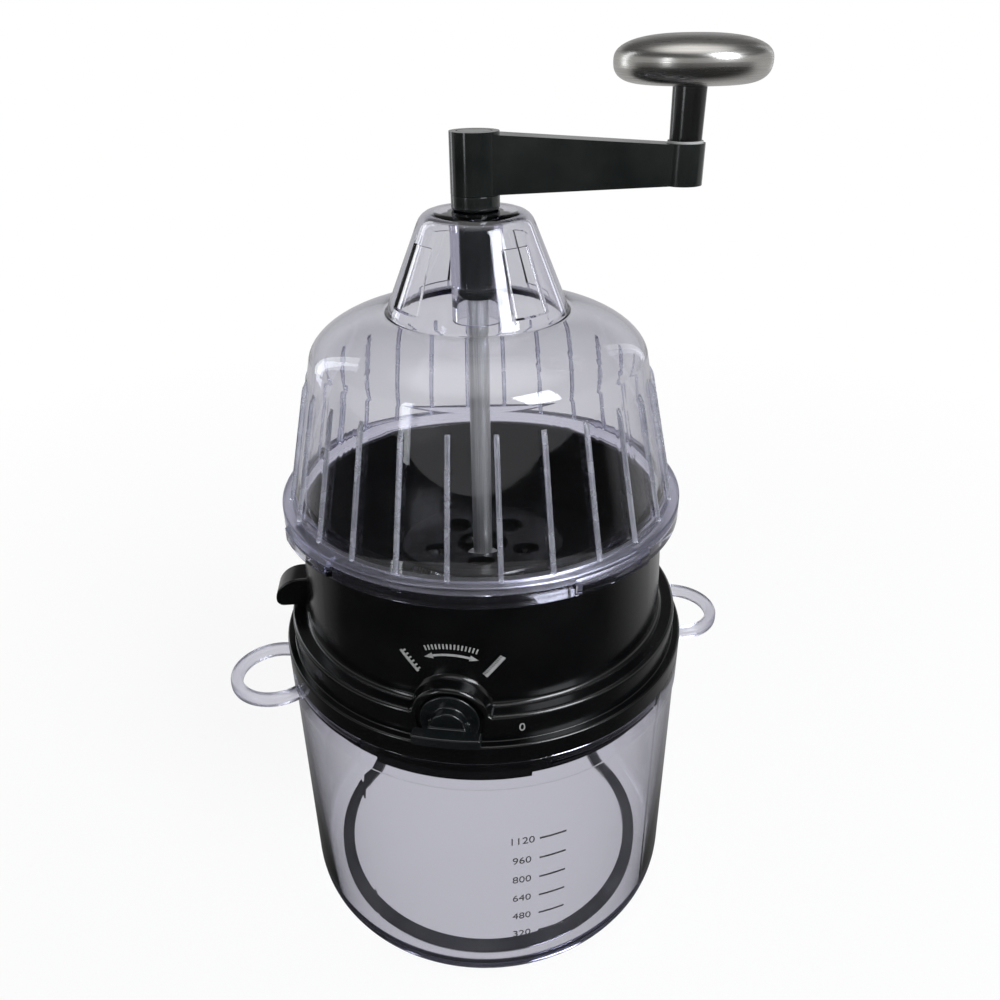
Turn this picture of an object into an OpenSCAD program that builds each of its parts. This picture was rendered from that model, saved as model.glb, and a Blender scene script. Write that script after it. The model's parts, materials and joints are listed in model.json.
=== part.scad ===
// Hand cranked spiralizer: a clear container, a cutting unit with a comb selector,
// a clear dome and a crank whose rod presses and turns the food on the blades.
// Millimetres, +Z up, origin at the centre of the base, selector dial facing -Y.

/* [Container] */
// Outer radius of the container wall
cup_r = 74.6; // [66:0.1:85]
// Height of the container rim above the table
cup_h = 110; // [80:0.5:160]
// Wall thickness of the container
cup_wall = 2.4; // [1.8:0.1:3.2]
// Floor thickness of the container
cup_floor = 3; // [2.2:0.1:5]
// Radius of the rounded base edge
base_round = 8; // [4:0.5:12]
// Height of the thicker band round the rim
rim_band_h = 11.5; // [8:0.5:16]
// How far the rim band stands out from the wall
rim_band_proud = 0.5; // [0.3:0.1:1]
// Height of the ear loops below the rim, to their middle
ear_drop = 8.7; // [7:0.1:20]
// Outer radius of an ear loop
ear_r = 17; // [13:0.5:24]
// Width of the loop's band, seen from above
ear_band = 4.4; // [3:0.1:6]
// Thickness of the loop's band
ear_thick = 4.6; // [3:0.1:7]
// How far an ear reaches out from the wall
ear_reach = 23.4; // [18:0.1:30]
// Direction of the ears, from +X
ear_angle = 21.5; // [0:0.5:45]
// Mean radius of the non-slip ring
foot_r = 63; // [50:0.5:63.5]
// Width of the non-slip ring
foot_w = 5; // [3:0.5:6]
// Depth of the groove that holds the non-slip ring
foot_groove = 1.2; // [0.6:0.1:1.5]
// How far the non-slip ring stands below the base
foot_proud = 1; // [0.5:0.1:2]

/* [Cutting unit] */
// How far the skirt reaches into the container
skirt_h = 9; // [8:0.5:16]
// Height of the flange that rests on the rim
flange_h = 7; // [5:0.1:8]
// Set-back of the dial band from the container wall
band_inset = 2.4; // [2:0.1:4]
// Height of the step above the rim, where the dial band ends
step_rise = 16.8; // [15:0.1:18]
// Radius of the hollow between the step and the wall
step_fillet = 2.2; // [1:0.1:3]
// Bevel along the step's outer edge
step_edge = 0.6; // [0.3:0.1:1.2]
// Height of the whole housing above the rim
unit_h = 59.4; // [53:0.2:78]
// Wall thickness of the housing
unit_wall = 2.4; // [1.6:0.1:2.8]
// Set-back of the throat from the container wall
throat_inset = 12.2; // [11:0.1:14]
// Height of the lip under the dome's flange
lip_h = 2.8; // [2.4:0.1:4]
// Width of the finger hook
hook_w = 11; // [8:0.5:16]
// Reach of the finger hook from the band
hook_reach = 5.4; // [4:0.1:8]
// Height of the finger hook
hook_h = 11.5; // [9:0.5:12]
// Direction of the finger hook, from +X
hook_angle = 193; // [185:1:220]

/* [Blades and selector] */
// Height of the blade plate's top above the rim
plate_rise = 23; // [21.5:0.1:25]
// Thickness of the blade plate
plate_t = 4; // [3:0.1:5]
// Height of the selector's axis above the rim
dial_rise = 15; // [14:0.1:15.5]
// Radius of the dial's disc
dial_r = 9.7; // [8:0.1:10.2]
// Length of the dial's bar grip
grip_bar_l = 22; // [18:0.2:26]
// Height of the bar grip
grip_bar_h = 3.6; // [3:0.1:5]
// How far the bar stands out from the dial's boss
grip_bar_out = 5; // [4:0.1:9]
// Offset of the bar below the dial's axis
grip_bar_drop = 2; // [0:0.1:2.4]
// Radius of the selector shaft
shaft_r = 5; // [4:0.1:6]
// Radius of the comb drum
drum_r = 8.6; // [8:0.1:9]
// Distance from the drum's axis to the comb tips
comb_tip_r = 10; // [9.4:0.1:10.2]
// Thickness of the combs
comb_t = 0.8; // [0.5:0.1:1.2]
// Turn of the dial from safe to the wide comb
wide_turn = 54; // [45:1:60]
// Turn of the dial from safe to the fine comb
fine_turn = 119; // [110:1:125]
// Spacing of the wide comb's teeth
wide_pitch = 7; // [5:0.5:10]
// Spacing of the fine comb's teeth
fine_pitch = 3.5; // [2.5:0.25:4.5]
// Gap between the plate and the blade's underside
slice_gap = 1.3; // [1:0.1:2]
// Thickness of the main blade
blade_t = 1; // [0.6:0.1:1.5]
// Radius of the coring tube
corer_r = 7; // [5.5:0.1:8]

/* [Dome] */
// Height of the dome's flange
dome_flange_h = 7.3; // [6:0.1:10]
// Wall thickness of the dome
dome_wall = 2.2; // [1.6:0.1:2.6]
// Height of the dome's ribbed wall above its flange
dome_wall_h = 48; // [40:0.5:70]
// How far the ribbed wall leans in over its height
dome_lean = 10.4; // [5:0.2:14]
// Height of the rounded crown
crown_h = 14.4; // [10:0.2:20]
// Radius at the foot of the neck
neck_foot_r = 29.7; // [26:0.1:36]
// Radius at the top of the neck
neck_top_r = 16.9; // [15:0.1:20]
// Height of the neck
neck_h = 31; // [27:0.2:40]
// Number of ribs round the dome
rib_count = 26; // [12:1:30]
// Width of a rib
rib_w = 1.5; // [1:0.1:2.5]
// How far a rib stands out
rib_proud = 1.2; // [0.8:0.1:2]

/* [Crank] */
// Radius of the drive rod
rod_r = 3.5; // [2.8:0.1:4.2]
// Wall of the neck bush round the rod
bush_wall = 2; // [1.5:0.1:2.6]
// Height of the bush's collar above the neck
collar_h = 4.6; // [4:0.1:10]
// Distance from the rod to the grip's axis
crank_r = 62.9; // [50:0.5:80]
// Radius of the crank's hub
hub_r = 7.6; // [7:0.1:10]
// Height of the crank's hub
hub_h = 17.8; // [15:0.2:24]
// Radius of the arm's end boss
boss_r = 6; // [5:0.1:8]
// Height of the arm's end boss
boss_h = 11.9; // [10:0.1:16]
// Direction of the crank at rest, from +X
crank_angle = 8; // [-180:1:180]
// Radius of the food holder
holder_r = 31; // [27:0.5:40]
// Thickness of the food holder
holder_t = 3.5; // [2.5:0.1:5]
// Height of the food holder's top above the blade plate
holder_rise = 14; // [13.4:0.1:20]
// Radius of the grip's post
post_r = 5; // [4.8:0.1:7]
// Height of the grip's post below the knob
post_h = 15.4; // [14.6:0.2:24]
// Radius of the grip's pin
pin_r = 2.5; // [2:0.1:3]
// Radius of the knob
knob_r = 22.5; // [18:0.5:30]
// Height of the knob's domed top
knob_top_h = 7; // [5:0.2:12]
// Depth of the knob's underside
knob_low_h = 6.2; // [5:0.2:10]
// Thickness of the knob's steel shell
knob_wall = 1; // [0.6:0.1:1.4]

/* [Hidden] */
$fn = 96;

// Clearances: loose between parts that lift apart, fine inside one assembly, running on shafts
loose = 0.4;
fine = 0.1;
running = 0.05;
// Length by which a cutting shape passes the face that it cuts
over = 1;

// Container
cup_in = cup_r - cup_wall;
base_z = foot_proud;
floor_z = base_z + cup_floor;
in_round = base_round - cup_wall;
ear_z = cup_h - ear_drop;
ear_centre = cup_r + ear_reach - ear_r;
ear_chamfer = ear_band / 4;

// Bayonet between the container and the cutting unit: lugs side by side, ready to lift
lug_count = 4;
lug_at = 45;
skirt_lug_a = 42;
cup_lug_a = 38;
lug_proud = 1.5;
lug_h = 3.6;
skirt_r = cup_in - lug_proud - loose;
skirt_low = cup_h - skirt_h;
cup_lug_z = skirt_low + lug_h + 2 * fine;

// Cutting unit, from its seat on the rim upwards
lip_proud = 0.4;
flange_edge = 1;
flange_r = cup_r + rim_band_proud;
flange_top = cup_h + flange_h;
band_r = cup_r - band_inset;
step_z = cup_h + step_rise;
throat_r = cup_r - throat_inset;
wall_r = throat_r + unit_wall;
unit_top = cup_h + unit_h;
lip_r = wall_r + lip_proud;
lip_z = unit_top - lip_h;
plate_z = cup_h + plate_rise;
plate_low = plate_z - plate_t;
ledge_w = 5.4;
ledge_t = 3;
ledge_low = plate_low - ledge_t;
hook_rise = 12.2;
hook_root = 3;
hook_tip_r = 2.6;

// Selector: distances are along its axis, from the unit's centre towards the dial
dial_z = cup_h + dial_rise;
well_gap = 1.5;
well_depth = 1.5;
well_r = dial_r + well_gap;
well_out = band_r - well_depth;
arch_w = 1.4;
arch_r = well_r + arch_w;
arch_fillet = 1.5;
arch_out = band_r + 2 * fine;
boss_out = flange_r + loose;
dial_disc_t = 1.2;
dial_boss_r = 5.6;
dial_back = well_out + loose;
dial_face = dial_back + dial_disc_t;
bar_foot_l = 0.68 * 2 * dial_r;
bearing_wall = 5;
bearing_r = shaft_r + bearing_wall;
drum_end_gap = 1.4;
drum_out = throat_r - drum_end_gap;
drum_in = 14.4;
plug_step = 1;
plug_r = shaft_r - plug_step;
plug_l = 8;
dial_screw_head = 1.4;
dial_screw_sunk = 0.4;
journal_r = 3;
journal_l = 4.4;
bearing_gap = 0.5;
comb_end = 1.5;
comb_in = drum_in + comb_end;
comb_out = drum_out - plug_l - comb_end;
comb_root = 4;
tooth_l = 2.4;
comb_body_r = comb_tip_r - tooth_l;
tooth_w = 1.1;

// Blade plate and what it carries; the slot runs from the drum's running side to the blade
plate_gap = 0.3;
plate_r = throat_r - plate_gap;
slot_gap = 0.6;
slot_right = comb_tip_r + slot_gap;
slot_left = 17;
bearing_l = 4;
pad_w = 8;
blade_edge = 4.6;
blade_in = drum_in - 1;
blade_end_gap = 0.5;
blade_out = sqrt(pow(plate_r, 2) - pow(slot_left + pad_w, 2)) - blade_end_gap;
blade_bevel = 3.4;
blade_z = plate_z + slice_gap;
screw_r = 1.5;
screw_head_r = 2.8;
plate_screw_count = 4;
plate_screw_at = throat_r - ledge_w / 2;
plate_screw_in = 2.6;
corer_wall = 0.6;
corer_rise = 3;
corer_flange = 1.2;

// Dome, from its seat on the unit's lip upwards
dome_shelf = 1.6;
dome_flange_proud = 3.8;
dome_in = throat_r + dome_shelf;
dome_foot_r = dome_in + dome_wall;
dome_low = lip_z;
dome_top = dome_low + dome_flange_h;
dome_flange_r = dome_foot_r + dome_flange_proud;
dome_lip_in = lip_r + loose;
shoulder_r = dome_foot_r - dome_lean;
shoulder_z = dome_top + dome_wall_h;
crown_z = shoulder_z + crown_h;
neck_z = crown_z + neck_h;
crown_power = 2 / 1.78;
crown_steps = 16;
rib_end = 5;
rib_top = shoulder_z - rib_end;
dome_lug_a = 9;
dome_lug_proud = 2.4;
dome_lug_h = 1.4;
dome_slot_play = 3;
dome_slot_wall = 0.5;
bulge_a = 24;
bulge_proud = 1.3;
pocket_a = 26;
pocket_depth = 1;
pocket_from = 0.12;
pocket_to = 0.72;

// Neck bush and the dome's guide tube round it
bush_bore = rod_r + running;
bush_r = bush_bore + bush_wall;
bush_lip = 0.8;
bush_lip_h = 3.2;
bush_l = 27;
bush_low = neck_z - bush_l;
guide_r = bush_r + running;
guide_cup_r = bush_r + bush_lip + loose;
guide_wall = 1.6;
guide_below = 8;
guide_low = bush_low - guide_below;
guide_step = bush_low + bush_lip_h + loose;
collar_w = 2;
collar_edge = 0.6;
collar_r = bush_r + collar_w;
collar_z = neck_z + collar_h;

// Crank and food holder
hub_top = collar_z + hub_h;
boss_rise = 2;
boss_low = collar_z + boss_rise;
boss_top = boss_low + boss_h;
arm_hub_t = 11;
arm_boss_t = 8.6;
arm_inset = 0.4;
hub_web = 2;
hub_head_h = 2.2;
hub_cap_r = 5.4;
hub_cap_t = 1.2;
hub_cap_gap = 0.4;
hub_screw_r = 1.8;
hub_screw_l = 12;
hub_head_z = hub_top - hub_cap_t - hub_cap_gap - hub_head_h;
rod_top = hub_head_z - hub_web;
holder_z = plate_z + holder_rise;
holder_low = holder_z - holder_t;
dish_r = 9.5;
dish_depth = 6.5;
dish_t = 2.5;
dish_floor = holder_z - dish_depth;
dish_low = dish_floor - dish_t;
holder_hole_r = 5;
holder_hole_at = 17;
holder_holes = 5;
holder_hole_from = -83;
holder_pin_r = 1.1;
holder_pin_l = 7;
holder_pin_in = 2;
outer_pins = 10;
outer_pin_inset = 5.5;
outer_pin_at = holder_r - outer_pin_inset;
rod_collar_w = 2.2;
rod_collar_t = 1;
rod_screw_head = 1.5;
rod_screw_head_r = 4.2;
rod_screw_l = 9;
tap_spare = 0.5;

// Grip
washer_t = 0.6;
post_low = boss_top + washer_t;
knob_low = post_low + post_h;
knob_rim = knob_low + knob_low_h;
post_taper = 0.2;
post_plate_r = 11;
post_plate_t = 2.2;
knob_flat_r = post_plate_r + knob_wall;
pin_foot = 1.4;
pin_low = boss_low + pin_foot;
pin_head_w = 1.4;
pin_head_r = pin_r + pin_head_w;
pin_head_h = 1.6;
pin_head_drop = 2.4;
pin_head_z = knob_low - pin_head_drop;
pin_play = 0.3;
knob_power = 0.8;

clear = [0.86, 0.86, 0.92, 0.4];
black = [0.06, 0.06, 0.07];
steel = [0.74, 0.73, 0.71];

// Points of an arc round c, from angle a to angle b
function arc(c, r, a, b, n = 8) =
    [for (i = [0:n]) c + r * [cos(a + (b - a) * i / n), sin(a + (b - a) * i / n)]];

// Quarter curve between a flat end at (r0, z1) and an upright end at (r1, z0)
function shoulder(r0, r1, z0, z1, power, n) =
    [for (i = [0:n]) let (a = 90 * i / n)
        [r0 + (r1 - r0) * pow(cos(a), power), z0 + (z1 - z0) * pow(sin(a), power)]];

function backwards(list) = [for (i = [len(list) - 1:-1:0]) list[i]];

// Block bent round the Z axis, a degrees wide and centred on angle mid
module bent_block(r_in, r_out, z_low, z_high, mid, a) {
    rotate([0, 0, mid - a / 2])
        rotate_extrude(angle = a)
            translate([r_in, z_low])
                square([r_out - r_in, z_high - z_low]);
}

// Frame of the selector: its Z runs out along the dial's axis, its Y runs up
module on_dial_axis() {
    translate([0, 0, dial_z])
        rotate([90, 0, 0])
            children();
}

module ring(r_in, r_out, h) {
    difference() {
        cylinder(r = r_out, h = h);
        translate([0, 0, -over])
            cylinder(r = r_in, h = h + 2 * over);
    }
}

// Clear cup with a rounded base edge, a banded rim, bayonet lugs and two ear loops
module container() {
    band_z = cup_h - rim_band_h;
    profile = concat(
        [[0, base_z]],
        arc([cup_r - base_round, base_z + base_round], base_round, -90, 0),
        [[cup_r, band_z - rim_band_proud], [flange_r, band_z], [flange_r, cup_h], [cup_in, cup_h]],
        arc([cup_in - in_round, floor_z + in_round], in_round, 0, -90),
        [[0, floor_z]]);
    color(clear) {
        difference() {
            rotate_extrude() polygon(profile);
            translate([0, 0, base_z - over])
                ring(foot_r - foot_w / 2, foot_r + foot_w / 2, foot_groove + over);
        }
        for (i = [0:lug_count - 1])
            bent_block(cup_in - lug_proud, cup_in + fine, cup_lug_z, cup_lug_z + lug_h,
                lug_at + i * 360 / lug_count, cup_lug_a);
        for (side = [0, 180])
            rotate([0, 0, ear_angle + side]) ear();
    }
}

// Flat ear loop, cut off where it meets the wall
module ear() {
    r_in = ear_r - ear_band;
    half = ear_thick / 2;
    difference() {
        translate([ear_centre, 0, ear_z])
            rotate_extrude()
                polygon([[r_in, ear_chamfer - half], [r_in + ear_chamfer, -half],
                    [ear_r - ear_chamfer, -half], [ear_r, ear_chamfer - half],
                    [ear_r, half - ear_chamfer], [ear_r - ear_chamfer, half],
                    [r_in + ear_chamfer, half], [r_in, half - ear_chamfer]]);
        translate([0, 0, ear_z - ear_thick])
            cylinder(r = cup_r - cup_wall / 2, h = 2 * ear_thick);
    }
}

module non_slip_ring() {
    color([0.09, 0.09, 0.1])
        ring(foot_r - foot_w / 2, foot_r + foot_w / 2, foot_proud + foot_groove);
}

// Black ring of the cutting unit: skirt, flange, dial band, step, upright wall and throat
module unit_housing() {
    skirt_in = skirt_r - unit_wall;
    band_in = band_r - unit_wall;
    step_low = step_z - unit_wall;
    seat_out = plate_screw_at + screw_head_r + 2 * loose;
    profile = concat(
        [[skirt_in, skirt_low], [skirt_r, skirt_low], [skirt_r, cup_h], [flange_r, cup_h],
            [flange_r, flange_top - flange_edge], [flange_r - flange_edge, flange_top],
            [band_r, flange_top], [band_r, step_z - step_edge], [band_r - step_edge, step_z]],
        arc([wall_r + step_fillet, step_z + step_fillet], step_fillet, -90, -180),
        [[wall_r, lip_z], [lip_r, lip_z], [lip_r, unit_top], [throat_r, unit_top],
            [throat_r, plate_low], [throat_r - ledge_w, plate_low],
            [throat_r - ledge_w, ledge_low], [seat_out, ledge_low], [wall_r, step_low],
            [band_in, step_low], [band_in, flange_top], [skirt_in, cup_h]]);
    color(black)
    difference() {
        union() {
            rotate_extrude() polygon(profile);
            for (i = [0:lug_count - 1]) {
                bent_block(skirt_r - fine, cup_in - loose, skirt_low, skirt_low + lug_h,
                    i * 360 / lug_count, skirt_lug_a);
                bent_block(lip_r - fine, lip_r + dome_lug_proud, unit_top - dome_lug_h, unit_top,
                    dome_lug_mid(i), dome_lug_a);
            }
            arch();
            on_dial_axis()
                translate([0, 0, throat_r + unit_wall / 2])
                    cylinder(r = bearing_r, h = well_out - throat_r - unit_wall / 2);
            rotate([0, 0, hook_angle]) hook();
        }
        on_dial_axis() {
            translate([0, 0, well_out])
                cylinder(r = well_r, h = band_r + loose - well_out);
            translate([0, 0, throat_r - 2 * over])
                cylinder(r = shaft_r + running, h = well_out - throat_r + 3 * over);
        }
        translate([-comb_tip_r - over, -throat_r + over / 2, ledge_low - over])
            cube([2 * (comb_tip_r + over), ledge_w + 2 * over, ledge_t + 2 * over]);
        each_plate_screw(ledge_low - over)
            cylinder(r = screw_r + fine, h = ledge_t + 2 * over);
    }
}

// The step's rise over the dial, hollowed where it meets the step
module arch() {
    rise = step_z - dial_z;
    foot = sqrt(pow(arch_r + arch_fillet, 2) - pow(rise + arch_fillet, 2));
    a = atan2(rise + arch_fillet, foot);
    outline = concat(
        [[-foot, rise - over], [foot, rise - over]],
        arc([foot, rise + arch_fillet], arch_fillet, -90, a - 180),
        arc([0, 0], arch_r, a, 180 - a, 24),
        arc([-foot, rise + arch_fillet], arch_fillet, -a, -90));
    intersection() {
        on_dial_axis()
            translate([0, 0, wall_r - over])
                linear_extrude(band_r - wall_r + 2 * over) polygon(outline);
        translate([0, 0, step_z - 2 * over])
            cylinder(r = arch_out, h = 2 * arch_r);
    }
}

// Finger hook: a solid tab that curves out from the wall over the band
module hook() {
    tip = band_r + hook_reach;
    root = wall_r + hook_root;
    seat = [wall_r - unit_wall / 2, step_z - unit_wall / 2];
    top = step_z + hook_rise;
    low = top - hook_h;
    belly = low + hook_tip_r;
    foot = band_r - 2 * step_edge;
    rotate([90, 0, 0])
        linear_extrude(hook_w, center = true)
            polygon(concat(
                [seat, [seat.x, top]],
                [for (a = [90:-10:0]) [root + (tip - root) * cos(a), belly + (top - belly) * sin(a)]],
                arc([tip - hook_tip_r, belly], hook_tip_r, -10, -90),
                [[foot, low], [foot, seat.y]]));
}

// Where the unit's lugs enter the dome's bayonet slots
function dome_lug_mid(i) = lug_at + i * 360 / lug_count + dome_slot_wall
    - (bulge_a - dome_lug_a - dome_slot_play) / 2;

// Floor of the unit: blade slot, raised blade seat, corer hole and drum bearing
module blade_plate() {
    bearing_y = drum_in - bearing_gap;
    color(black)
    difference() {
        union() {
            translate([0, 0, plate_low]) cylinder(r = plate_r, h = plate_t);
            translate([-slot_left - pad_w, -blade_out, plate_low])
                cube([pad_w, blade_out - blade_in, plate_t + slice_gap]);
            translate([-2 * journal_r, -bearing_y, dial_z - 2 * journal_r])
                cube([4 * journal_r, bearing_l, plate_low + over - dial_z + 2 * journal_r]);
        }
        translate([-slot_left, -plate_r - over, plate_low - over])
            cube([slot_left + slot_right, plate_r + over - bearing_y, plate_t + 2 * over]);
        translate([0, 0, plate_low - over])
            cylinder(r = corer_r + running, h = plate_t + 2 * over);
        on_dial_axis()
            translate([0, 0, 2 * journal_r])
                cylinder(r = journal_r + running, h = drum_in);
        each_plate_screw(plate_low - over)
            cylinder(r = screw_r + running, h = plate_screw_in + over);
        for (y = blade_screw_ys())
            translate([blade_screw_x(), y, plate_low - over])
                cylinder(r = screw_r + running, h = plate_t + slice_gap + 2 * over);
    }
}

function blade_screw_x() = -slot_left - pad_w / 2;
function blade_screw_ys() = [for (s = [0.25, 0.75]) -blade_in - s * (blade_out - blade_in)];

// Screws from below through the ledge into the plate
module each_plate_screw(z) {
    for (i = [0:plate_screw_count - 1])
        rotate([0, 0, (i + 0.5) * 360 / plate_screw_count])
            translate([plate_screw_at, 0, z]) children();
}

module plate_screws() {
    color(steel)
    each_plate_screw(ledge_low) {
        translate([0, 0, -screw_r]) cylinder(r = screw_head_r, h = screw_r);
        cylinder(r = screw_r, h = ledge_t + plate_screw_in - fine);
    }
}

// Flat steel blade with a bevelled edge towards the drum
module main_blade() {
    top = blade_z + blade_t;
    color(steel)
    difference() {
        translate([0, -blade_in, 0])
            rotate([90, 0, 0])
                linear_extrude(blade_out - blade_in)
                    polygon([[-slot_left - pad_w, blade_z], [-blade_edge, blade_z],
                        [-blade_edge, blade_z + blade_t / 8],
                        [-blade_edge - blade_bevel, top], [-slot_left - pad_w, top]]);
        for (y = blade_screw_ys())
            translate([blade_screw_x(), y, blade_z])
                countersink(fine);
    }
}

// Countersunk head as thick as the blade, with its shank below
module countersink(gap) {
    cylinder(r1 = screw_r + blade_t / 2 + gap, r2 = screw_r + 1.5 * blade_t + gap, h = blade_t);
    translate([0, 0, -over]) cylinder(r = screw_r + gap, h = over + blade_t / 2);
}

module blade_screws() {
    shank = plate_t + slice_gap;
    color(steel)
    for (y = blade_screw_ys())
        translate([blade_screw_x(), y, blade_z]) {
            countersink(0);
            translate([0, 0, -shank]) cylinder(r = screw_r, h = shank);
        }
}

// Steel tube that cuts the core free, flanged under the plate
module coring_tube() {
    color(steel)
    rotate_extrude()
        polygon([[corer_r - corer_wall, plate_low - corer_wall],
            [corer_r + corer_flange, plate_low - corer_wall], [corer_r + corer_flange, plate_low],
            [corer_r, plate_low], [corer_r, plate_z + corer_rise - corer_wall],
            [corer_r - corer_wall, plate_z + corer_rise]]);
}

// Dial: disc in its well, boss, bar grip and the shaft through the housing
module dial() {
    color(black)
    on_dial_axis()
    difference() {
        union() {
            translate([0, 0, dial_back])
                cylinder(r = dial_r, h = dial_disc_t);
            translate([0, 0, dial_face - over])
                cylinder(r = dial_boss_r, h = boss_out - dial_face + over);
            intersection() {
                translate([-grip_bar_l / 2, -grip_bar_drop - grip_bar_h / 2, boss_out])
                    cube([grip_bar_l, grip_bar_h, grip_bar_out + over]);
                rotate([90, 0, 0])
                    cylinder(r = boss_out + grip_bar_out, h = 4 * dial_r, center = true);
            }
            translate([-bar_foot_l / 2, -grip_bar_drop - grip_bar_h / 2, dial_face - over])
                cube([bar_foot_l, grip_bar_h, boss_out - dial_face + 2 * over]);
            translate([0, 0, drum_out])
                cylinder(r = shaft_r, h = dial_face - drum_out);
            translate([0, 0, drum_out - plug_l])
                cylinder(r = plug_r, h = plug_l + over);
        }
        at_dial_screw(fine, over);
    }
}

// Radial screw through the drum into the dial's plug, driven from below, its head sunk
module at_dial_screw(gap = 0, beyond = 0) {
    from = plug_r / 4;
    head_at = drum_r - dial_screw_sunk - dial_screw_head;
    translate([0, 0, drum_out - plug_l / 2])
        rotate([90, 0, 0]) {
            translate([0, 0, from]) cylinder(r = screw_r + gap, h = head_at - from + fine);
            translate([0, 0, head_at]) cylinder(r = screw_head_r + gap, h = dial_screw_head + beyond);
        }
}

module dial_screw() {
    color(steel)
        on_dial_axis() at_dial_screw();
}

// Drum under the plate: flat on top in the safe position, slotted for the two combs
module comb_drum() {
    color(black)
    on_dial_axis()
    difference() {
        union() {
            translate([0, 0, drum_in]) cylinder(r = drum_r, h = drum_out - drum_in);
            translate([0, 0, drum_in - journal_l]) cylinder(r = journal_r, h = journal_l + over);
        }
        translate([-drum_r, plate_z - dial_z, drum_in - over])
            cube([2 * drum_r, drum_r, drum_out]);
        for (turn = [wide_turn, fine_turn])
            rotate([0, 0, -turn])
                translate([-comb_t / 2 - running, comb_root, comb_in - running])
                    cube([comb_t + 2 * running, drum_r, comb_out - comb_in + 2 * running]);
        translate([0, 0, drum_out - plug_l - fine])
            cylinder(r = plug_r + running, h = plug_l + over);
        at_dial_screw(fine, over);
    }
}

// Steel comb that stands upright through the plate once the dial has turned by its angle
module comb(turn, pitch) {
    length = comb_out - comb_in;
    root = comb_root + running;
    gaps = floor((length - tooth_w) / pitch);
    first = comb_in + (length - gaps * pitch) / 2;
    function tooth(y) = [[comb_body_r, y - tooth_w / 2], [comb_tip_r, y - tooth_w / 4],
        [comb_tip_r, y + tooth_w / 2], [comb_body_r, y + tooth_w / 2]];
    outline = concat(
        [[root, comb_in], [comb_body_r, comb_in]],
        [for (i = [0:gaps]) for (point = tooth(first + i * pitch)) point],
        [[comb_body_r, comb_out], [root, comb_out]]);
    color(steel)
    on_dial_axis()
        rotate([0, 0, -turn])
            translate([-comb_t / 2, 0, 0])
                rotate([90, 0, 90])
                    linear_extrude(comb_t) polygon(outline);
}

module wide_comb() { comb(wide_turn, wide_pitch); }
module fine_comb() { comb(fine_turn, fine_pitch); }

// Clear dome: bayonet flange, ribbed wall, rounded crown, conical neck and guide tube
module dome() {
    neck_in = neck_foot_r - dome_wall;
    neck_edge = 2;
    neck_bevel = 1;
    neck_lean = (neck_foot_r - neck_top_r) / neck_h;
    lid_low = neck_z - dome_wall;
    profile = concat(
        [[dome_lip_in, dome_low], [dome_flange_r, dome_low], [dome_flange_r, dome_top],
            [dome_foot_r, dome_top]],
        shoulder(neck_foot_r, shoulder_r, shoulder_z, crown_z, crown_power, crown_steps),
        [[neck_top_r + neck_lean * neck_edge, neck_z - neck_edge], [neck_top_r - neck_bevel, neck_z],
            [guide_r, neck_z], [guide_r, guide_step], [guide_cup_r, guide_step],
            [guide_cup_r, guide_low], [guide_cup_r + guide_wall, guide_low],
            [guide_cup_r + guide_wall, lid_low],
            [neck_top_r - dome_wall + neck_lean * dome_wall, lid_low]],
        backwards(shoulder(neck_in, shoulder_r - dome_wall, shoulder_z, crown_z - dome_wall,
            crown_power, crown_steps)),
        [[dome_in, dome_top], [dome_in, unit_top], [dome_lip_in, unit_top]]);
    slot_r = lip_r + dome_lug_proud + loose;
    color(clear)
    difference() {
        union() {
            rotate_extrude() polygon(profile);
            for (i = [0:rib_count - 1])
                rotate([0, 0, i * 360 / rib_count - 90]) rib();
            for (i = [0:lug_count - 1])
                bent_block(dome_flange_r - fine, dome_flange_r + bulge_proud, dome_low + bulge_proud / 2,
                    dome_top - bulge_proud, lug_at + i * 360 / lug_count, bulge_a);
        }
        for (i = [0:lug_count - 1]) {
            bent_block(dome_in - over, slot_r, dome_low - over, unit_top + loose,
                dome_lug_mid(i), dome_lug_a + dome_slot_play);
            bent_block(dome_in - over, slot_r - fine, unit_top - dome_lug_h - loose,
                unit_top + loose - fine, dome_lug_mid(i) + dome_lug_a, dome_lug_a + dome_slot_play);
            rotate([0, 0, lug_at + i * 360 / lug_count - pocket_a / 2])
                neck_pocket(neck_lean);
        }
    }
}

// Rib on the dome's leaning wall, faded out at its top
module rib() {
    lean = dome_lean / dome_wall_h;
    foot = dome_foot_r - dome_wall / 2;
    head = foot - lean * (rib_top - dome_top);
    out = dome_wall / 2 + rib_proud;
    rotate([90, 0, 0])
        linear_extrude(rib_w, center = true)
            polygon([[foot, dome_top - fine], [foot + out, dome_top - fine],
                [head + out, rib_top - 2 * rib_proud], [head + dome_wall / 4, rib_top],
                [head, rib_top]]);
}

// Shallow recess in the neck's side
module neck_pocket(lean) {
    low = crown_z + pocket_from * neck_h;
    high = crown_z + pocket_to * neck_h;
    function side(z) = neck_foot_r - lean * (z - crown_z);
    rotate_extrude(angle = pocket_a)
        polygon([[side(low) - pocket_depth, low], [side(low) + over, low],
            [side(high) + over, high], [side(high) - pocket_depth, high]]);
}

// Bush that turns in the neck and guides the rod; its lip snaps under the guide's step
module neck_bush() {
    color(black)
    rotate_extrude()
        polygon([[bush_bore, bush_low], [bush_r, bush_low],
            [bush_r + bush_lip, bush_low + bush_lip_h / 2],
            [bush_r + bush_lip, bush_low + bush_lip_h], [bush_r, bush_low + bush_lip_h],
            [bush_r, neck_z], [collar_r - collar_edge, neck_z], [collar_r, neck_z + collar_edge],
            [collar_r, collar_z], [bush_bore, collar_z]]);
}

// Crank parts are drawn along +X and turned to the rest direction
module at_crank() {
    rotate([0, 0, crank_angle]) children();
}

module at_grip() {
    at_crank() translate([crank_r, 0, 0]) children();
}

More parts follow.
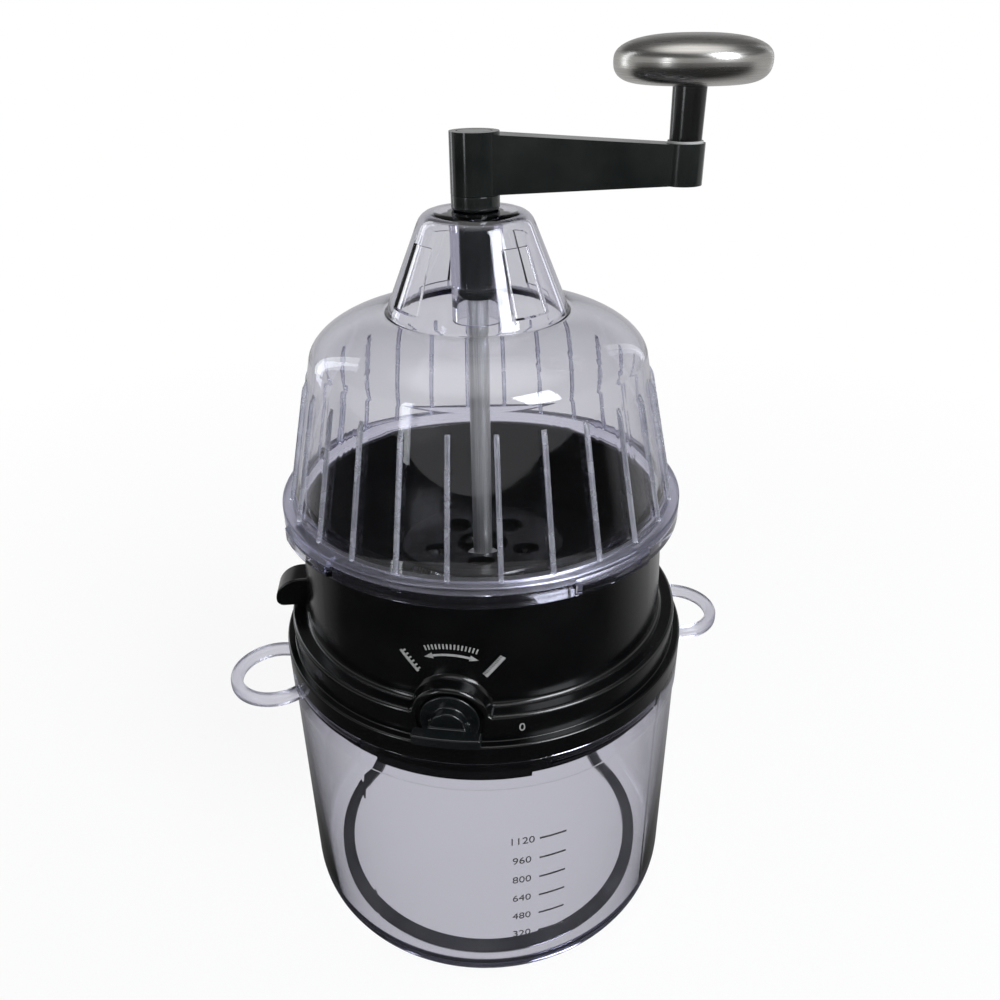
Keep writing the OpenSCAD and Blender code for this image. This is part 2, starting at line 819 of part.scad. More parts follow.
// Hub, tapering arm and end boss in one moulding
module crank_arm() {
    color(black)
    difference() {
        union() {
            at_crank() {
                translate([0, 0, collar_z]) cylinder(r = hub_r, h = hub_h);
                intersection() {
                    rotate([90, 0, 0])
                        linear_extrude(2 * hub_r, center = true)
                            polygon([[0, collar_z], [crank_r, boss_low + arm_inset / 2],
                                [crank_r, boss_top - arm_inset], [0, hub_top - arm_inset]]);
                    translate([0, 0, collar_z - over])
                        linear_extrude(hub_h + 2 * over)
                            polygon([[0, -arm_hub_t / 2], [crank_r, -arm_boss_t / 2],
                                [crank_r, arm_boss_t / 2], [0, arm_hub_t / 2]]);
                }
            }
            at_grip() translate([0, 0, boss_low]) cylinder(r = boss_r, h = boss_h);
        }
        translate([0, 0, collar_z - over])
            cylinder(r = rod_r + running, h = rod_top - collar_z + over);
        translate([0, 0, collar_z])
            cylinder(r = hub_screw_r + fine, h = hub_h);
        translate([0, 0, hub_head_z])
            cylinder(r = 2 * hub_screw_r + fine, h = hub_h);
        translate([0, 0, hub_top - hub_cap_t])
            cylinder(r = hub_cap_r + running, h = hub_cap_t + over);
        at_grip()
            translate([0, 0, pin_low])
                cylinder(r = pin_r + running, h = boss_h);
    }
}

module hub_screw() {
    color(steel) {
        translate([0, 0, hub_head_z]) cylinder(r = 2 * hub_screw_r, h = hub_head_h);
        translate([0, 0, hub_head_z - hub_screw_l])
            cylinder(r = hub_screw_r, h = hub_screw_l + fine);
    }
}

module hub_cap() {
    color(black)
        translate([0, 0, hub_top - hub_cap_t]) cylinder(r = hub_cap_r, h = hub_cap_t);
}

// Steel rod, tapped at both ends
module drive_rod() {
    hole = hub_screw_l - hub_web + tap_spare;
    color(steel)
    difference() {
        translate([0, 0, dish_low]) cylinder(r = rod_r, h = rod_top - dish_low);
        translate([0, 0, rod_top - hole])
            cylinder(r = hub_screw_r + running, h = hole + over);
        translate([0, 0, dish_low - over])
            cylinder(r = hub_screw_r + running, h = rod_screw_l + tap_spare + over);
    }
}

module rod_collar() {
    color(steel)
        translate([0, 0, dish_floor]) ring(rod_r + running, rod_r + rod_collar_w, rod_collar_t);
}

module rod_screw() {
    color(steel)
        translate([0, 0, dish_low]) {
            translate([0, 0, -rod_screw_head])
                cylinder(r = rod_screw_head_r, h = rod_screw_head);
            cylinder(r = hub_screw_r, h = rod_screw_l);
        }
}

// Disc that grips the food: dished middle, round holes and sockets for its pins
module food_holder() {
    edge = 1;
    dish_wall = 1.8;
    color(black)
    difference() {
        rotate_extrude()
            polygon([[rod_r + running, dish_low], [dish_r, dish_low],
                [dish_r + dish_wall, dish_low + dish_wall], [dish_r + dish_wall, holder_low],
                [holder_r - edge, holder_low], [holder_r, holder_low + edge],
                [holder_r, holder_z - edge], [holder_r - edge, holder_z], [dish_r, holder_z],
                [dish_r - edge, dish_floor], [rod_r + running, dish_floor]]);
        for (i = [0:holder_holes - 1])
            rotate([0, 0, holder_hole_from + i * 360 / holder_holes])
                translate([holder_hole_at, 0, holder_low - over])
                    cylinder(r = holder_hole_r, h = holder_t + 2 * over);
        each_holder_pin()
            translate([0, 0, -over])
                cylinder(r = holder_pin_r + running, h = holder_pin_in + over);
    }
}

// One place under the disc for each pin: a ring near the rim and one between the holes
module each_holder_pin() {
    for (i = [0:outer_pins - 1])
        rotate([0, 0, holder_hole_from + i * 360 / outer_pins])
            translate([outer_pin_at, 0, holder_low]) children();
    for (i = [0:holder_holes - 1])
        rotate([0, 0, holder_hole_from + (i + 0.5) * 360 / holder_holes])
            translate([holder_hole_at, 0, holder_low]) children();
}

module holder_pins() {
    tip = 2.4;
    color(steel)
    each_holder_pin() {
        translate([0, 0, tip - holder_pin_l])
            cylinder(r = holder_pin_r, h = holder_pin_l - tip + holder_pin_in);
        translate([0, 0, -holder_pin_l])
            cylinder(r1 = holder_pin_r / 4, r2 = holder_pin_r, h = tip);
    }
}

// Shoulder pin fixed in the boss; the grip turns on it below its head
module grip_pin() {
    color(steel)
    at_grip() {
        translate([0, 0, pin_low]) cylinder(r = pin_r, h = pin_head_z - pin_low);
        translate([0, 0, pin_head_z]) cylinder(r = pin_head_r, h = pin_head_h);
    }
}

module grip_washer() {
    color([0.8, 0.8, 0.8])
        at_grip() translate([0, 0, boss_top]) ring(pin_r + running, post_r + pin_play, washer_t);
}

// Post of the grip, with the plate that carries the knob
module grip_stem() {
    plate_low = knob_low + knob_wall;
    plate_top = plate_low + post_plate_t;
    head_low = pin_head_z - pin_play;
    head_r = pin_head_r + pin_play;
    color(black)
    at_grip()
        rotate_extrude()
            polygon([[pin_r + running, post_low], [post_r - post_taper, post_low],
                [post_r, knob_low], [post_r, plate_low], [post_plate_r, plate_low],
                [post_plate_r, plate_top], [head_r, plate_top], [head_r, head_low],
                [pin_r + running, head_low]]);
}

// Lower steel shell of the knob
module knob_pan() {
    color(steel)
    at_grip()
        rotate_extrude()
            polygon(concat(
                [[post_r + fine, knob_low], [knob_flat_r, knob_low]],
                knob_curve(knob_r, knob_low),
                backwards(knob_curve(knob_r - knob_wall, knob_low + knob_wall)),
                [[knob_flat_r, knob_low + knob_wall], [post_r + fine, knob_low + knob_wall]]));
}

// Underside of the knob from its flat middle up to its rim
function knob_curve(r, low) =
    [for (a = [15:15:90]) [knob_flat_r + (r - knob_flat_r) * sin(a),
        knob_rim - (knob_rim - low) * cos(a)]];

// Upper steel shell of the knob, gently domed with a round edge
module knob_cap() {
    outer = shoulder(0, knob_r, knob_rim, knob_rim + knob_top_h, knob_power, 12);
    inner = shoulder(0, knob_r - knob_wall, knob_rim, knob_rim + knob_top_h - knob_wall,
        knob_power, 12);
    color(steel)
    at_grip()
        rotate_extrude()
            polygon(concat(outer, backwards(inner)));
}

container();
non_slip_ring();
unit_housing();
blade_plate();
plate_screws();
main_blade();
blade_screws();
coring_tube();
dial();
dial_screw();
comb_drum();
wide_comb();
fine_comb();
dome();
neck_bush();
crank_arm();
hub_screw();
hub_cap();
drive_rod();
rod_collar();
rod_screw();
food_holder();
holder_pins();
grip_pin();
grip_washer();
grip_stem();
knob_pan();
knob_cap();
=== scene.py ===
# Dresses a hand cranked spiralizer: clear container and dome, black moulded cutting unit and
# crank, steel blades, rod and knob. The sections follow the order in which it is put together.
import json
import math

import bmesh
import bpy
from mathutils import Matrix, Vector


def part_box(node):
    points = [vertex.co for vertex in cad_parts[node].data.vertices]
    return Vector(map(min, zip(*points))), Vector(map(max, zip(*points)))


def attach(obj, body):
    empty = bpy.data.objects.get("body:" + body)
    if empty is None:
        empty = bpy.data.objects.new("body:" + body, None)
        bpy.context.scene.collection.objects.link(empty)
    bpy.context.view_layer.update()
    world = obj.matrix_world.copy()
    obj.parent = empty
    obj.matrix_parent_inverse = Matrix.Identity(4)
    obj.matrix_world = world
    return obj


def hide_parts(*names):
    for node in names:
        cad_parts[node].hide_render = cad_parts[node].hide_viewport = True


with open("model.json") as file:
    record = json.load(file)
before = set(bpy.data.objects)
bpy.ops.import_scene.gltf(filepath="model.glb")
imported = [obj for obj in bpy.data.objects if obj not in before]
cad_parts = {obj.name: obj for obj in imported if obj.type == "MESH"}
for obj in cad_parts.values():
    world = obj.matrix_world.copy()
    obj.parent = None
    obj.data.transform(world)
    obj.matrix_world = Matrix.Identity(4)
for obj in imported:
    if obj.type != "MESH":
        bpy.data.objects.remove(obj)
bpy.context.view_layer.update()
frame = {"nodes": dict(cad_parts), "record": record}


# Non-slip ring. A moulded rubber band, pressed into a groove under the container, that the
# whole tool stands on. Its edges are rounded by the mould and its skin is dull and a little dusty.
MM = 0.001
RUBBER = (0.020, 0.020, 0.022)
RUBBER_DUST = (0.045, 0.044, 0.043)
RUBBER_ROUGH = (0.68, 0.86)
RING_IN = 60.5
RING_OUT = 65.5
RING_TOP = 2.2
RING_EDGE = 0.6


def new_finish(name, colour, roughness, metal=0.0):
    """A material with its own Principled shader, and the tree that holds it."""
    material = bpy.data.materials.new(name)
    material.use_nodes = True
    tree = material.node_tree
    shader = tree.nodes["Principled BSDF"]
    shader.inputs["Base Color"].default_value = (*colour, 1.0)
    shader.inputs["Roughness"].default_value = roughness
    shader.inputs["Metallic"].default_value = metal
    return material, tree, shader


def add(tree, kind, inputs, **settings):
    """The first output of a node with its settings and inputs, each a value or another output."""
    made = tree.nodes.new(kind)
    for name, value in settings.items():
        setattr(made, name, value)
    for name, value in inputs.items():
        if isinstance(value, bpy.types.NodeSocket):
            tree.links.new(value, made.inputs[name])
        else:
            made.inputs[name].default_value = value
    return made.outputs[0]


def object_place(tree, scale=(1, 1, 1), centre=(0, 0, 0)):
    """Object coordinates, centred on a point and stretched along the axes."""
    where = tree.nodes.new("ShaderNodeTexCoord").outputs["Object"]
    moved = add(tree, "ShaderNodeVectorMath", {0: where, 1: centre}, operation="SUBTRACT")
    return add(tree, "ShaderNodeVectorMath", {0: moved, 1: scale}, operation="MULTIPLY")


def spread(tree, value, low, high, start=0.35, end=0.65):
    """Stretches the middle of a noise to run from low to high."""
    return add(tree, "ShaderNodeMapRange", {"Value": value, "From Min": start, "From Max": end,
                                            "To Min": low, "To Max": high})


def two_tone(tree, share, first, second):
    """A colour between two, by a share from 0 to 1; each is a colour or another output."""
    mix = tree.nodes.new("ShaderNodeMix")
    mix.data_type = "RGBA"
    tree.links.new(share, mix.inputs["Factor"])
    for name, tone in (("A", first), ("B", second)):
        if isinstance(tone, bpy.types.NodeSocket):
            tree.links.new(tone, mix.inputs[name])
        else:
            mix.inputs[name].default_value = (*tone, 1.0)
    return mix.outputs["Result"]


def moulded(name, tones, rough, sheen=0.5, cloud=60, grain=2600, depth=0.02 * MM):
    """A moulded finish: uneven tone and gloss in soft clouds, and the fine grain of the mould."""
    material, tree, shader = new_finish(name, tones[0], rough[0])
    shader.inputs["Specular IOR Level"].default_value = sheen
    where = object_place(tree)
    clouds = add(tree, "ShaderNodeTexNoise", {"Vector": where, "Scale": cloud, "Detail": 4.0})
    fine = add(tree, "ShaderNodeTexNoise", {"Vector": where, "Scale": grain, "Detail": 2.0})
    tree.links.new(two_tone(tree, spread(tree, clouds, 0, 1), *tones), shader.inputs["Base Color"])
    tree.links.new(spread(tree, clouds, *rough), shader.inputs["Roughness"])
    bump = add(tree, "ShaderNodeBump", {"Height": fine, "Strength": 0.5, "Distance": depth})
    tree.links.new(bump, shader.inputs["Normal"])
    return material


def new_piece(name, mesh):
    """A piece for a mesh, at the origin."""
    piece = bpy.data.objects.new(name, mesh)
    bpy.context.scene.collection.objects.link(piece)
    return piece


def to_mesh(piece):
    """Turns a piece with modifiers into a plain mesh."""
    graph = bpy.context.evaluated_depsgraph_get()
    made = bpy.data.meshes.new_from_object(piece.evaluated_get(graph))
    piece.modifiers.clear()
    piece.data = made
    return piece


def smoothed(piece, sharp=34, flats=False):
    """Smooth faces with corners above an angle left sharp; flats keeps large flat faces even."""
    piece.data.shade_smooth()
    piece.data.set_sharp_from_angle(angle=math.radians(sharp))
    if flats:
        even = piece.modifiers.new("even", "WEIGHTED_NORMAL")
        even.keep_sharp = True
        to_mesh(piece)
    return piece


def rounded(corners, points=5):
    """Outline through (radius, height, edge, zone) corners, each rounded off over its edge length.

    The zone, and the edge with it, may be left out. An edge never takes half of a side.
    """
    corners = [corner + (0, "")[len(corner) - 2:] for corner in corners]
    outline = []
    for before, here, after in zip(corners[-1:] + corners[:-1], corners, corners[1:] + corners[:1]):
        corner = Vector(here[:2])
        if not here[2]:
            outline.append((*here[:2], here[3]))
            continue
        back = Vector(before[:2]) - corner
        ahead = Vector(after[:2]) - corner
        start = corner + back.normalized() * min(here[2], 0.49 * back.length)
        end = corner + ahead.normalized() * min(here[2], 0.49 * ahead.length)
        for step in range(points):
            share = step / (points - 1)
            spot = start.lerp(corner, share).lerp(corner.lerp(end, share), share)
            outline.append((spot.x, spot.y, here[3]))
    return outline


def skin(work, rings, closed):
    """Faces between rings of points; closed joins the last ring to the first."""
    for first, second in zip(rings, rings[1:] + (rings[:1] if closed else [])):
        for a, b, c, d in zip(first, second, second[1:] + second[:1], first[1:] + first[:1]):
            work.faces.new((a, b, c, d))


def piece_of(name, work):
    """A piece from a closed bmesh, with its faces turned outwards."""
    bmesh.ops.recalc_face_normals(work, faces=work.faces)
    mesh = bpy.data.meshes.new(name)
    work.to_mesh(mesh)
    work.free()
    return new_piece(name, mesh)


def sides(count, zones):
    """Even turns round the main axis, and more of them where a zone's windows open and close."""
    turns = {round(360 * i / count, 3) for i in range(count)}
    for _, centres, half, ramp in zones.values():
        for edge in (half - ramp / 2, half + ramp / 2):
            turns.update(round((centre + edge) % 360, 3) for centre in centres)
            turns.update(round((centre - edge) % 360, 3) for centre in centres)
    return sorted(turns)


def stand_out(depth, centres, half, ramp, turn):
    """A zone's depth within half a width of any centre, 0 outside, with a short ramp between."""
    nearest = min(abs((turn - centre + 180) % 360 - 180) for centre in centres)
    return depth * min(1.0, max(0.0, (half + ramp / 2 - nearest) / ramp))


def turned(name, outline, count=180, zones=None):
    """A closed shell spun round the main axis; zones of the outline move out in their windows."""
    zones = zones or {}
    work = bmesh.new()
    rings = []
    for turn in sides(count, zones):
        way = Vector((math.cos(math.radians(turn)), math.sin(math.radians(turn)), 0))
        ring = []
        for r, z, zone in outline:
            out = r + (stand_out(*zones[zone], turn) if zone in zones else 0)
            ring.append(work.verts.new((way * out + Vector((0, 0, z))) * MM))
        rings.append(ring)
    skin(work, rings, True)
    bmesh.ops.remove_doubles(work, verts=work.verts, dist=0.0005 * MM)
    bmesh.ops.dissolve_degenerate(work, edges=work.edges, dist=0.0002 * MM)
    return piece_of(name, work)


def dress(piece, body, finish):
    """Gives a piece its finish and the body that carries it."""
    piece.data.materials.clear()
    piece.data.materials.append(finish)
    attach(piece, body)
    return piece


def stand_for(piece, node, finish):
    """Puts a piece in a solid's place."""
    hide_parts(node)
    return dress(piece, carried_by[node], finish)


record = frame["record"]
carried_by = {node: body for body, held in record["behaviour"]["bodies"].items() for node in held}
rubber = moulded("dull_rubber", (RUBBER, RUBBER_DUST), RUBBER_ROUGH, grain=1500, depth=0.05 * MM)
foot_outline = rounded([(RING_IN, 0, RING_EDGE), (RING_OUT, 0, RING_EDGE),
                        (RING_OUT, RING_TOP), (RING_IN, RING_TOP)])
foot = turned("foot_ring", foot_outline)
stand_for(smoothed(foot), "non_slip_ring", rubber)


# Container. An injection moulded cup of clear plastic with a banded rim, four bayonet lugs and two
# ear loops. Thick edges look lavender because the light runs a long way inside them.
CLEAR_TINT = (0.80, 0.795, 0.90)
CLEAR_DENSITY = 190.0
CLEAR_BEND = 1.49
HAIR = 0.05
CUP_R = 74.6
CUP_IN = 72.2
CUP_RIM_R = 75.08
CUP_TOP = 110 - HAIR
CUP_BAND_LOW = 98.5
CUP_BASE = 1.0
CUP_FLOOR = 4.0
CUP_FOOT_ROUND = 8.0
CUP_FLOOR_ROUND = 5.6
GROOVE = (RING_IN - HAIR, RING_OUT + HAIR, RING_TOP + HAIR)
CUP_LUG_Z = (104.8, 108.4)
CUP_LUG_IN = 70.7
LUG_COUNT = 4
LUG_RAMP = 0.4
CUP_LUG_TURN = 45.0
CUP_LUG_HALF = 19.0
EAR_CENTRE = 81.0
EAR_MEAN_R = 14.8
EAR_HALF_W = 2.2
EAR_HALF_T = 2.3
EAR_Z = 101.3
EAR_ANGLES = (21.5, 201.5)
EAR_SQUARE = 0.55
EAR_ROOT_R = CUP_R - 1.2
EAR_DULL = 0.32


def quarters(start):
    """Four turns, evenly spaced from a start, as the bayonets have them."""
    return [start + 360 * i / LUG_COUNT for i in range(LUG_COUNT)]


def join(piece, tool, how="UNION"):
    """Adds a tool's shape to a piece, or cuts it out."""
    joined = piece.modifiers.new("join", "BOOLEAN")
    joined.operation = how
    joined.solver = "EXACT"
    joined.object = tool
    to_mesh(piece)
    bpy.data.objects.remove(tool)
    return piece


def ear_loop(angle, around=96, section=20):
    """A flat loop with rounded edges, whose inner end lies within the cup's wall."""
    work = bmesh.new()
    way = Matrix.Rotation(math.radians(angle), 4, "Z") @ Matrix.Translation((EAR_CENTRE, 0, EAR_Z))
    rings = []
    for i in range(around):
        turn = math.tau * i / around
        ring = []
        for j in range(section):
            a = math.tau * j / section
            wide = math.copysign(abs(math.cos(a)) ** EAR_SQUARE, math.cos(a)) * EAR_HALF_W
            tall = math.copysign(abs(math.sin(a)) ** EAR_SQUARE, math.sin(a)) * EAR_HALF_T
            r = EAR_MEAN_R + wide
            spot = way @ Vector((r * math.cos(turn), r * math.sin(turn), tall))
            ring.append(work.verts.new(spot * MM))
        rings.append(ring)
    skin(work, rings, True)
    low, high = EAR_Z - 4 * EAR_HALF_T, EAR_Z + 4 * EAR_HALF_T
    inside = turned("inside", rounded([(0, low), (EAR_ROOT_R, low), (EAR_ROOT_R, high), (0, high)]), 240)
    return join(piece_of("ear", work), inside, "DIFFERENCE")


def clear_plastic(name):
    """Clear polished plastic: bends light, tints it with depth and carries faint smudges."""
    material, tree, shader = new_finish(name, (1, 1, 1), 0.03)
    shader.inputs["Transmission Weight"].default_value = 1.0
    shader.inputs["IOR"].default_value = CLEAR_BEND
    where = object_place(tree)
    smudge = add(tree, "ShaderNodeTexNoise", {"Vector": where, "Scale": 45.0, "Detail": 6.0})
    tree.links.new(spread(tree, smudge, 0.0, 0.06, 0.45, 0.75), shader.inputs["Roughness"])
    depth = tree.nodes.new("ShaderNodeVolumeAbsorption")
    depth.inputs["Color"].default_value = (*CLEAR_TINT, 1.0)
    depth.inputs["Density"].default_value = CLEAR_DENSITY
    tree.links.new(depth.outputs["Volume"], tree.nodes["Material Output"].inputs["Volume"])
    return material


def maths(tree, operation, *values):
    """A calculation with up to three values or other outputs."""
    return add(tree, "ShaderNodeMath", dict(enumerate(values)), operation=operation)


def length_of(tree, vector):
    """The length of a vector."""
    made = tree.nodes.new("ShaderNodeVectorMath")
    made.operation = "LENGTH"
    tree.links.new(vector, made.inputs[0])
    return made.outputs["Value"]


def dulled(material, zone, level):
    """Makes a zone of a clear plastic matt, where its mould can't be polished."""
    tree = material.node_tree
    rough = tree.nodes["Principled BSDF"].inputs["Roughness"]
    matt = maths(tree, "MULTIPLY", zone, level)
    both = maths(tree, "MAXIMUM", matt, rough.links[0].from_socket)
    tree.links.new(both, rough)


cup_outline = rounded([
    (0, CUP_BASE), (GROOVE[0], CUP_BASE, 0.2), (GROOVE[0], GROOVE[2]),
    (GROOVE[1], GROOVE[2]), (GROOVE[1], CUP_BASE, 0.2), (CUP_R, CUP_BASE, CUP_FOOT_ROUND),
    (CUP_R, CUP_BAND_LOW - 0.6, 0.3), (CUP_RIM_R, CUP_BAND_LOW, 0.3),
    (CUP_RIM_R, CUP_TOP, 0.5), (CUP_IN, CUP_TOP, 0.4), (CUP_IN, CUP_LUG_Z[1] + 0.4),
    (CUP_IN, CUP_LUG_Z[1], 0, "lug"), (CUP_IN, CUP_LUG_Z[0], 0, "lug"), (CUP_IN, CUP_LUG_Z[0] - 0.4),
    (CUP_IN, CUP_FLOOR, CUP_FLOOR_ROUND), (0, CUP_FLOOR)], 9)
cup_lugs = {"lug": (CUP_LUG_IN - CUP_IN, quarters(CUP_LUG_TURN), CUP_LUG_HALF, LUG_RAMP)}
clear = clear_plastic("clear_plastic")
tree = clear.node_tree
reach = length_of(tree, object_place(tree, (1, 1, 0)))
on_ear = maths(tree, "GREATER_THAN", reach, (CUP_RIM_R + 0.3) * MM)
dulled(clear, on_ear, EAR_DULL)
cup = turned("container_shell", cup_outline, zones=cup_lugs)
for angle in EAR_ANGLES:
    join(cup, ear_loop(angle))
stand_for(smoothed(cup), "container", clear)
cup.visible_shadow = False


# Cutting unit. The black ring between container and dome is one satin moulding: a flange on the rim, a
# band with the dial's well, and a step that rises over the dial. The blade plate is screwed up into it.
SATIN_BLACK = (0.0014, 0.0015, 0.0018)
SATIN_BLACK_WORN = (0.0026, 0.0027, 0.003)
SATIN_ROUGH = (0.15, 0.23)
SATIN_SHEEN = 0.6
UNIT_LOW = 101.0
SKIRT_R = 70.3
SKIRT_IN = 67.9
SKIRT_LUG_R = 71.8
SKIRT_LUG_TOP = 104.6
SKIRT_LUG_HALF = 21.0
FLANGE_LOW = 110.0
FLANGE_TOP = 117.0
BAND_R = 72.2
BAND_IN = 69.8
STEP_Z = 126.8
STEP_LOW = 124.4
STEP_EDGE = 1.7
STEP_HOLLOW = 2.0
WALL_R = 64.8
WALL_FOOT_R = 66.2
WALL_STRAIGHT = 158.0
WALL_RINGS = (138, 148)
THROAT_R = 62.4
LEDGE_R = 57.0
LEDGE_Z = (126.0, 129.0)
LIP_Z = 166.6
LIP_R = 65.2
UNIT_TOP = 169.4
TOP_LUG_R = 67.6
TOP_LUG_LOW = 168.0
TOP_LUG_TURN = 39.5
TOP_LUG_HALF = 4.5
DIAL_Z = 125.0
WELL_R = 11.2
WELL_BACK = 70.7
ARCH_R = 12.6
ARCH_FILLET = 1.5
ARCH_EDGE = 1.5
ARCH_HOLLOW = 2.0
SHAFT_HOLE_R = 5.05
BEARING_R = 10.0
DRUM_WINDOW = ((-11.0, -61.9, 125.0), (11.0, -54.5, 130.0))
HOOK_ANGLE = 193.0
HOOK_HALF_W = 5.5
HOOK_TOP = 139.0
HOOK_LOW = 127.5
HOOK_OUT = 77.6
HOOK_ROOT = 67.8
HOOK_FOOT = 71.0
HOOK_TIP_R = 2.6
HOOK_EDGE = 1.3
PLATE_EDGE = 0.35 * MM


def wall_at(z):
    """The upright wall's radius at a height: it leans in a little from the step up."""
    share = min(1.0, max(0.0, (WALL_STRAIGHT - z) / (WALL_STRAIGHT - STEP_Z)))
    return WALL_R + (WALL_FOOT_R - WALL_R) * share


def prism(name, outline, spots):
    """A closed solid from one outline, laid at each spot in turn by its own rule."""
    work = bmesh.new()
    rings = [[work.verts.new(Vector(spot(*point)) * MM) for point in outline] for spot in spots]
    skin(work, rings, False)
    work.faces.new(rings[0])
    work.faces.new(rings[-1])
    return piece_of(name, work)


def arc(centre, radius, start, end, count):
    """Points along an arc, from one angle to another."""
    steps = [math.radians(start + (end - start) * i / count) for i in range(count + 1)]
    return [(centre[0] + radius * math.cos(a), centre[1] + radius * math.sin(a)) for a in steps]


def arch_solid():
    """The step's rise over the dial, rounded along its front and hollowed at its feet."""
    rise = STEP_Z - DIAL_Z
    foot = math.sqrt((ARCH_R + ARCH_FILLET) ** 2 - (rise + ARCH_FILLET) ** 2)
    lean = math.degrees(math.atan2(rise + ARCH_FILLET, foot))
    outline = [(-foot, rise - 1), (foot, rise - 1)]
    outline += arc((foot, rise + ARCH_FILLET), ARCH_FILLET, -90, lean - 180, 6)
    outline += arc((0, 0), ARCH_R, lean, 180 - lean, 40)[1:-1]
    outline += arc((-foot, rise + ARCH_FILLET), ARCH_FILLET, -lean, -90, 6)

    def station(grow, front):
        """A rule that lays the outline on a front, and makes its upper part fuller."""
        def spot(x, z):
            fuller = 1 + grow / math.hypot(x, z) if z > rise - 0.5 else 1
            return (x * fuller, front(x), DIAL_Z + z * fuller)
        return spot

    hollow = []
    edge = []
    for i in range(7):
        a = math.radians(15 * i)
        out = wall_at(DIAL_Z + ARCH_R) - 0.3 + (ARCH_HOLLOW + 0.3) * (1 - math.cos(a))
        hollow.append(station(ARCH_HOLLOW * (1 - math.sin(a)),
                              lambda x, out=out: -math.sqrt(out ** 2 - x * x)))
    for i in range(6):
        a = math.radians(18 * i)
        back = ARCH_EDGE * (1 - math.sin(a))
        edge.append(station(-ARCH_EDGE * (1 - math.cos(a)),
                            lambda x, back=back: back - math.sqrt((BAND_R + 0.2) ** 2 - x * x)))
    return prism("arch", outline, [station(ARCH_HOLLOW, lambda x: -WALL_R + 2)] + hollow + edge)


def bevelled(piece, edge, segments, angle, full=False):
    """Rounds a piece's edges above an angle; full keeps the whole width beside short edges."""
    bevel = piece.modifiers.new("edge", "BEVEL")
    bevel.width = edge
    bevel.segments = segments
    bevel.limit_method = "ANGLE"
    bevel.angle_limit = math.radians(angle)
    bevel.use_clamp_overlap = not full
    return to_mesh(piece)


def hook_solid():
    """The finger hook, a tab that curves out over the band, with rounded edges."""
    belly = HOOK_LOW + HOOK_TIP_R
    outline = [(WALL_R - 1, STEP_Z - 1), (WALL_R - 1, HOOK_TOP)]
    for i in range(13):
        a = math.radians(90 - 7.5 * i)
        outline.append((HOOK_ROOT + (HOOK_OUT - HOOK_ROOT) * math.cos(a),
                        belly + (HOOK_TOP - belly) * math.sin(a)))
    outline += arc((HOOK_OUT - HOOK_TIP_R, belly), HOOK_TIP_R, -15, -90, 5)
    outline += [(HOOK_FOOT, HOOK_LOW), (HOOK_FOOT, STEP_Z - 1)]
    turn = Matrix.Rotation(math.radians(HOOK_ANGLE), 4, "Z")
    hook = prism("hook", outline, [lambda r, z: turn @ Vector((r, -HOOK_HALF_W, z)),
                                   lambda r, z: turn @ Vector((r, HOOK_HALF_W, z))])
    return bevelled(hook, HOOK_EDGE * MM, 4, 50)


def dial_bar(name, radius, near, far, count=64):
    """A round bar along the dial's axis, between two distances from the main axis."""
    outline = arc((0, 0), radius, 0, 360 - 360 / count, count - 1)
    return prism(name, outline, [lambda x, z: (x, -near, DIAL_Z + z), lambda x, z: (x, -far, DIAL_Z + z)])


def block(name, low, high):
    """A box between two corners."""
    outline = [(low[0], low[1]), (high[0], low[1]), (high[0], high[1]), (low[0], high[1])]
    return prism(name, outline, [lambda x, y: (x, y, low[2]), lambda x, y: (x, y, high[2])])


def merged(node, name):
    """A copy of a solid with its loose triangles joined and its flats whole."""
    mesh = frame["nodes"][node].data.copy()
    work = bmesh.new()
    work.from_mesh(mesh)
    bmesh.ops.remove_doubles(work, verts=work.verts, dist=0.001 * MM)
    bmesh.ops.dissolve_limit(work, angle_limit=math.radians(0.5), verts=work.verts, edges=work.edges)
    work.to_mesh(mesh)
    work.free()
    return new_piece(name, mesh)


def softened(node, name, edge, segments, full=False):
    """A copy of a solid with rounded edges, as moulding and deburring leave them."""
    return smoothed(bevelled(merged(node, name), edge, segments, 32, full), 46, flats=True)


def round_off(node, name, finish, edge=PLATE_EDGE, segments=2):
    """Puts a copy of a solid with rounded edges in its place."""
    stand_for(softened(node, name, edge, segments), node, finish)


unit_outline = rounded([
    (SKIRT_IN, UNIT_LOW, 0.3), (SKIRT_R, UNIT_LOW, 0, "skirt"), (SKIRT_R, SKIRT_LUG_TOP, 0, "skirt"),
    (SKIRT_R, SKIRT_LUG_TOP + 0.3), (SKIRT_R, FLANGE_LOW), (CUP_RIM_R, FLANGE_LOW, 0.4),
    (CUP_RIM_R, FLANGE_TOP, 1.0), (BAND_R, FLANGE_TOP, 0.4), (BAND_R, FLANGE_TOP + 4),
    (BAND_R, STEP_Z, STEP_EDGE), (WALL_FOOT_R, STEP_Z, STEP_HOLLOW),
    *[(wall_at(z), z) for z in WALL_RINGS], (WALL_R, WALL_STRAIGHT), (WALL_R, LIP_Z, 0.2),
    (LIP_R, LIP_Z, 0.1), (LIP_R, TOP_LUG_LOW - 0.2),
    (LIP_R, TOP_LUG_LOW, 0, "top"), (LIP_R, UNIT_TOP, 0.2, "top"), (THROAT_R, UNIT_TOP, 0.5),
    (THROAT_R, LEDGE_Z[1]), (LEDGE_R, LEDGE_Z[1]), (LEDGE_R, LEDGE_Z[0]),
    (WALL_R, STEP_LOW), (BAND_IN, STEP_LOW), (BAND_IN, FLANGE_TOP),
    (SKIRT_IN, FLANGE_LOW)], 7)
unit_lugs = {"skirt": (SKIRT_LUG_R - SKIRT_R, quarters(0), SKIRT_LUG_HALF, LUG_RAMP),
             "top": (TOP_LUG_R - LIP_R, quarters(TOP_LUG_TURN), TOP_LUG_HALF, LUG_RAMP)}
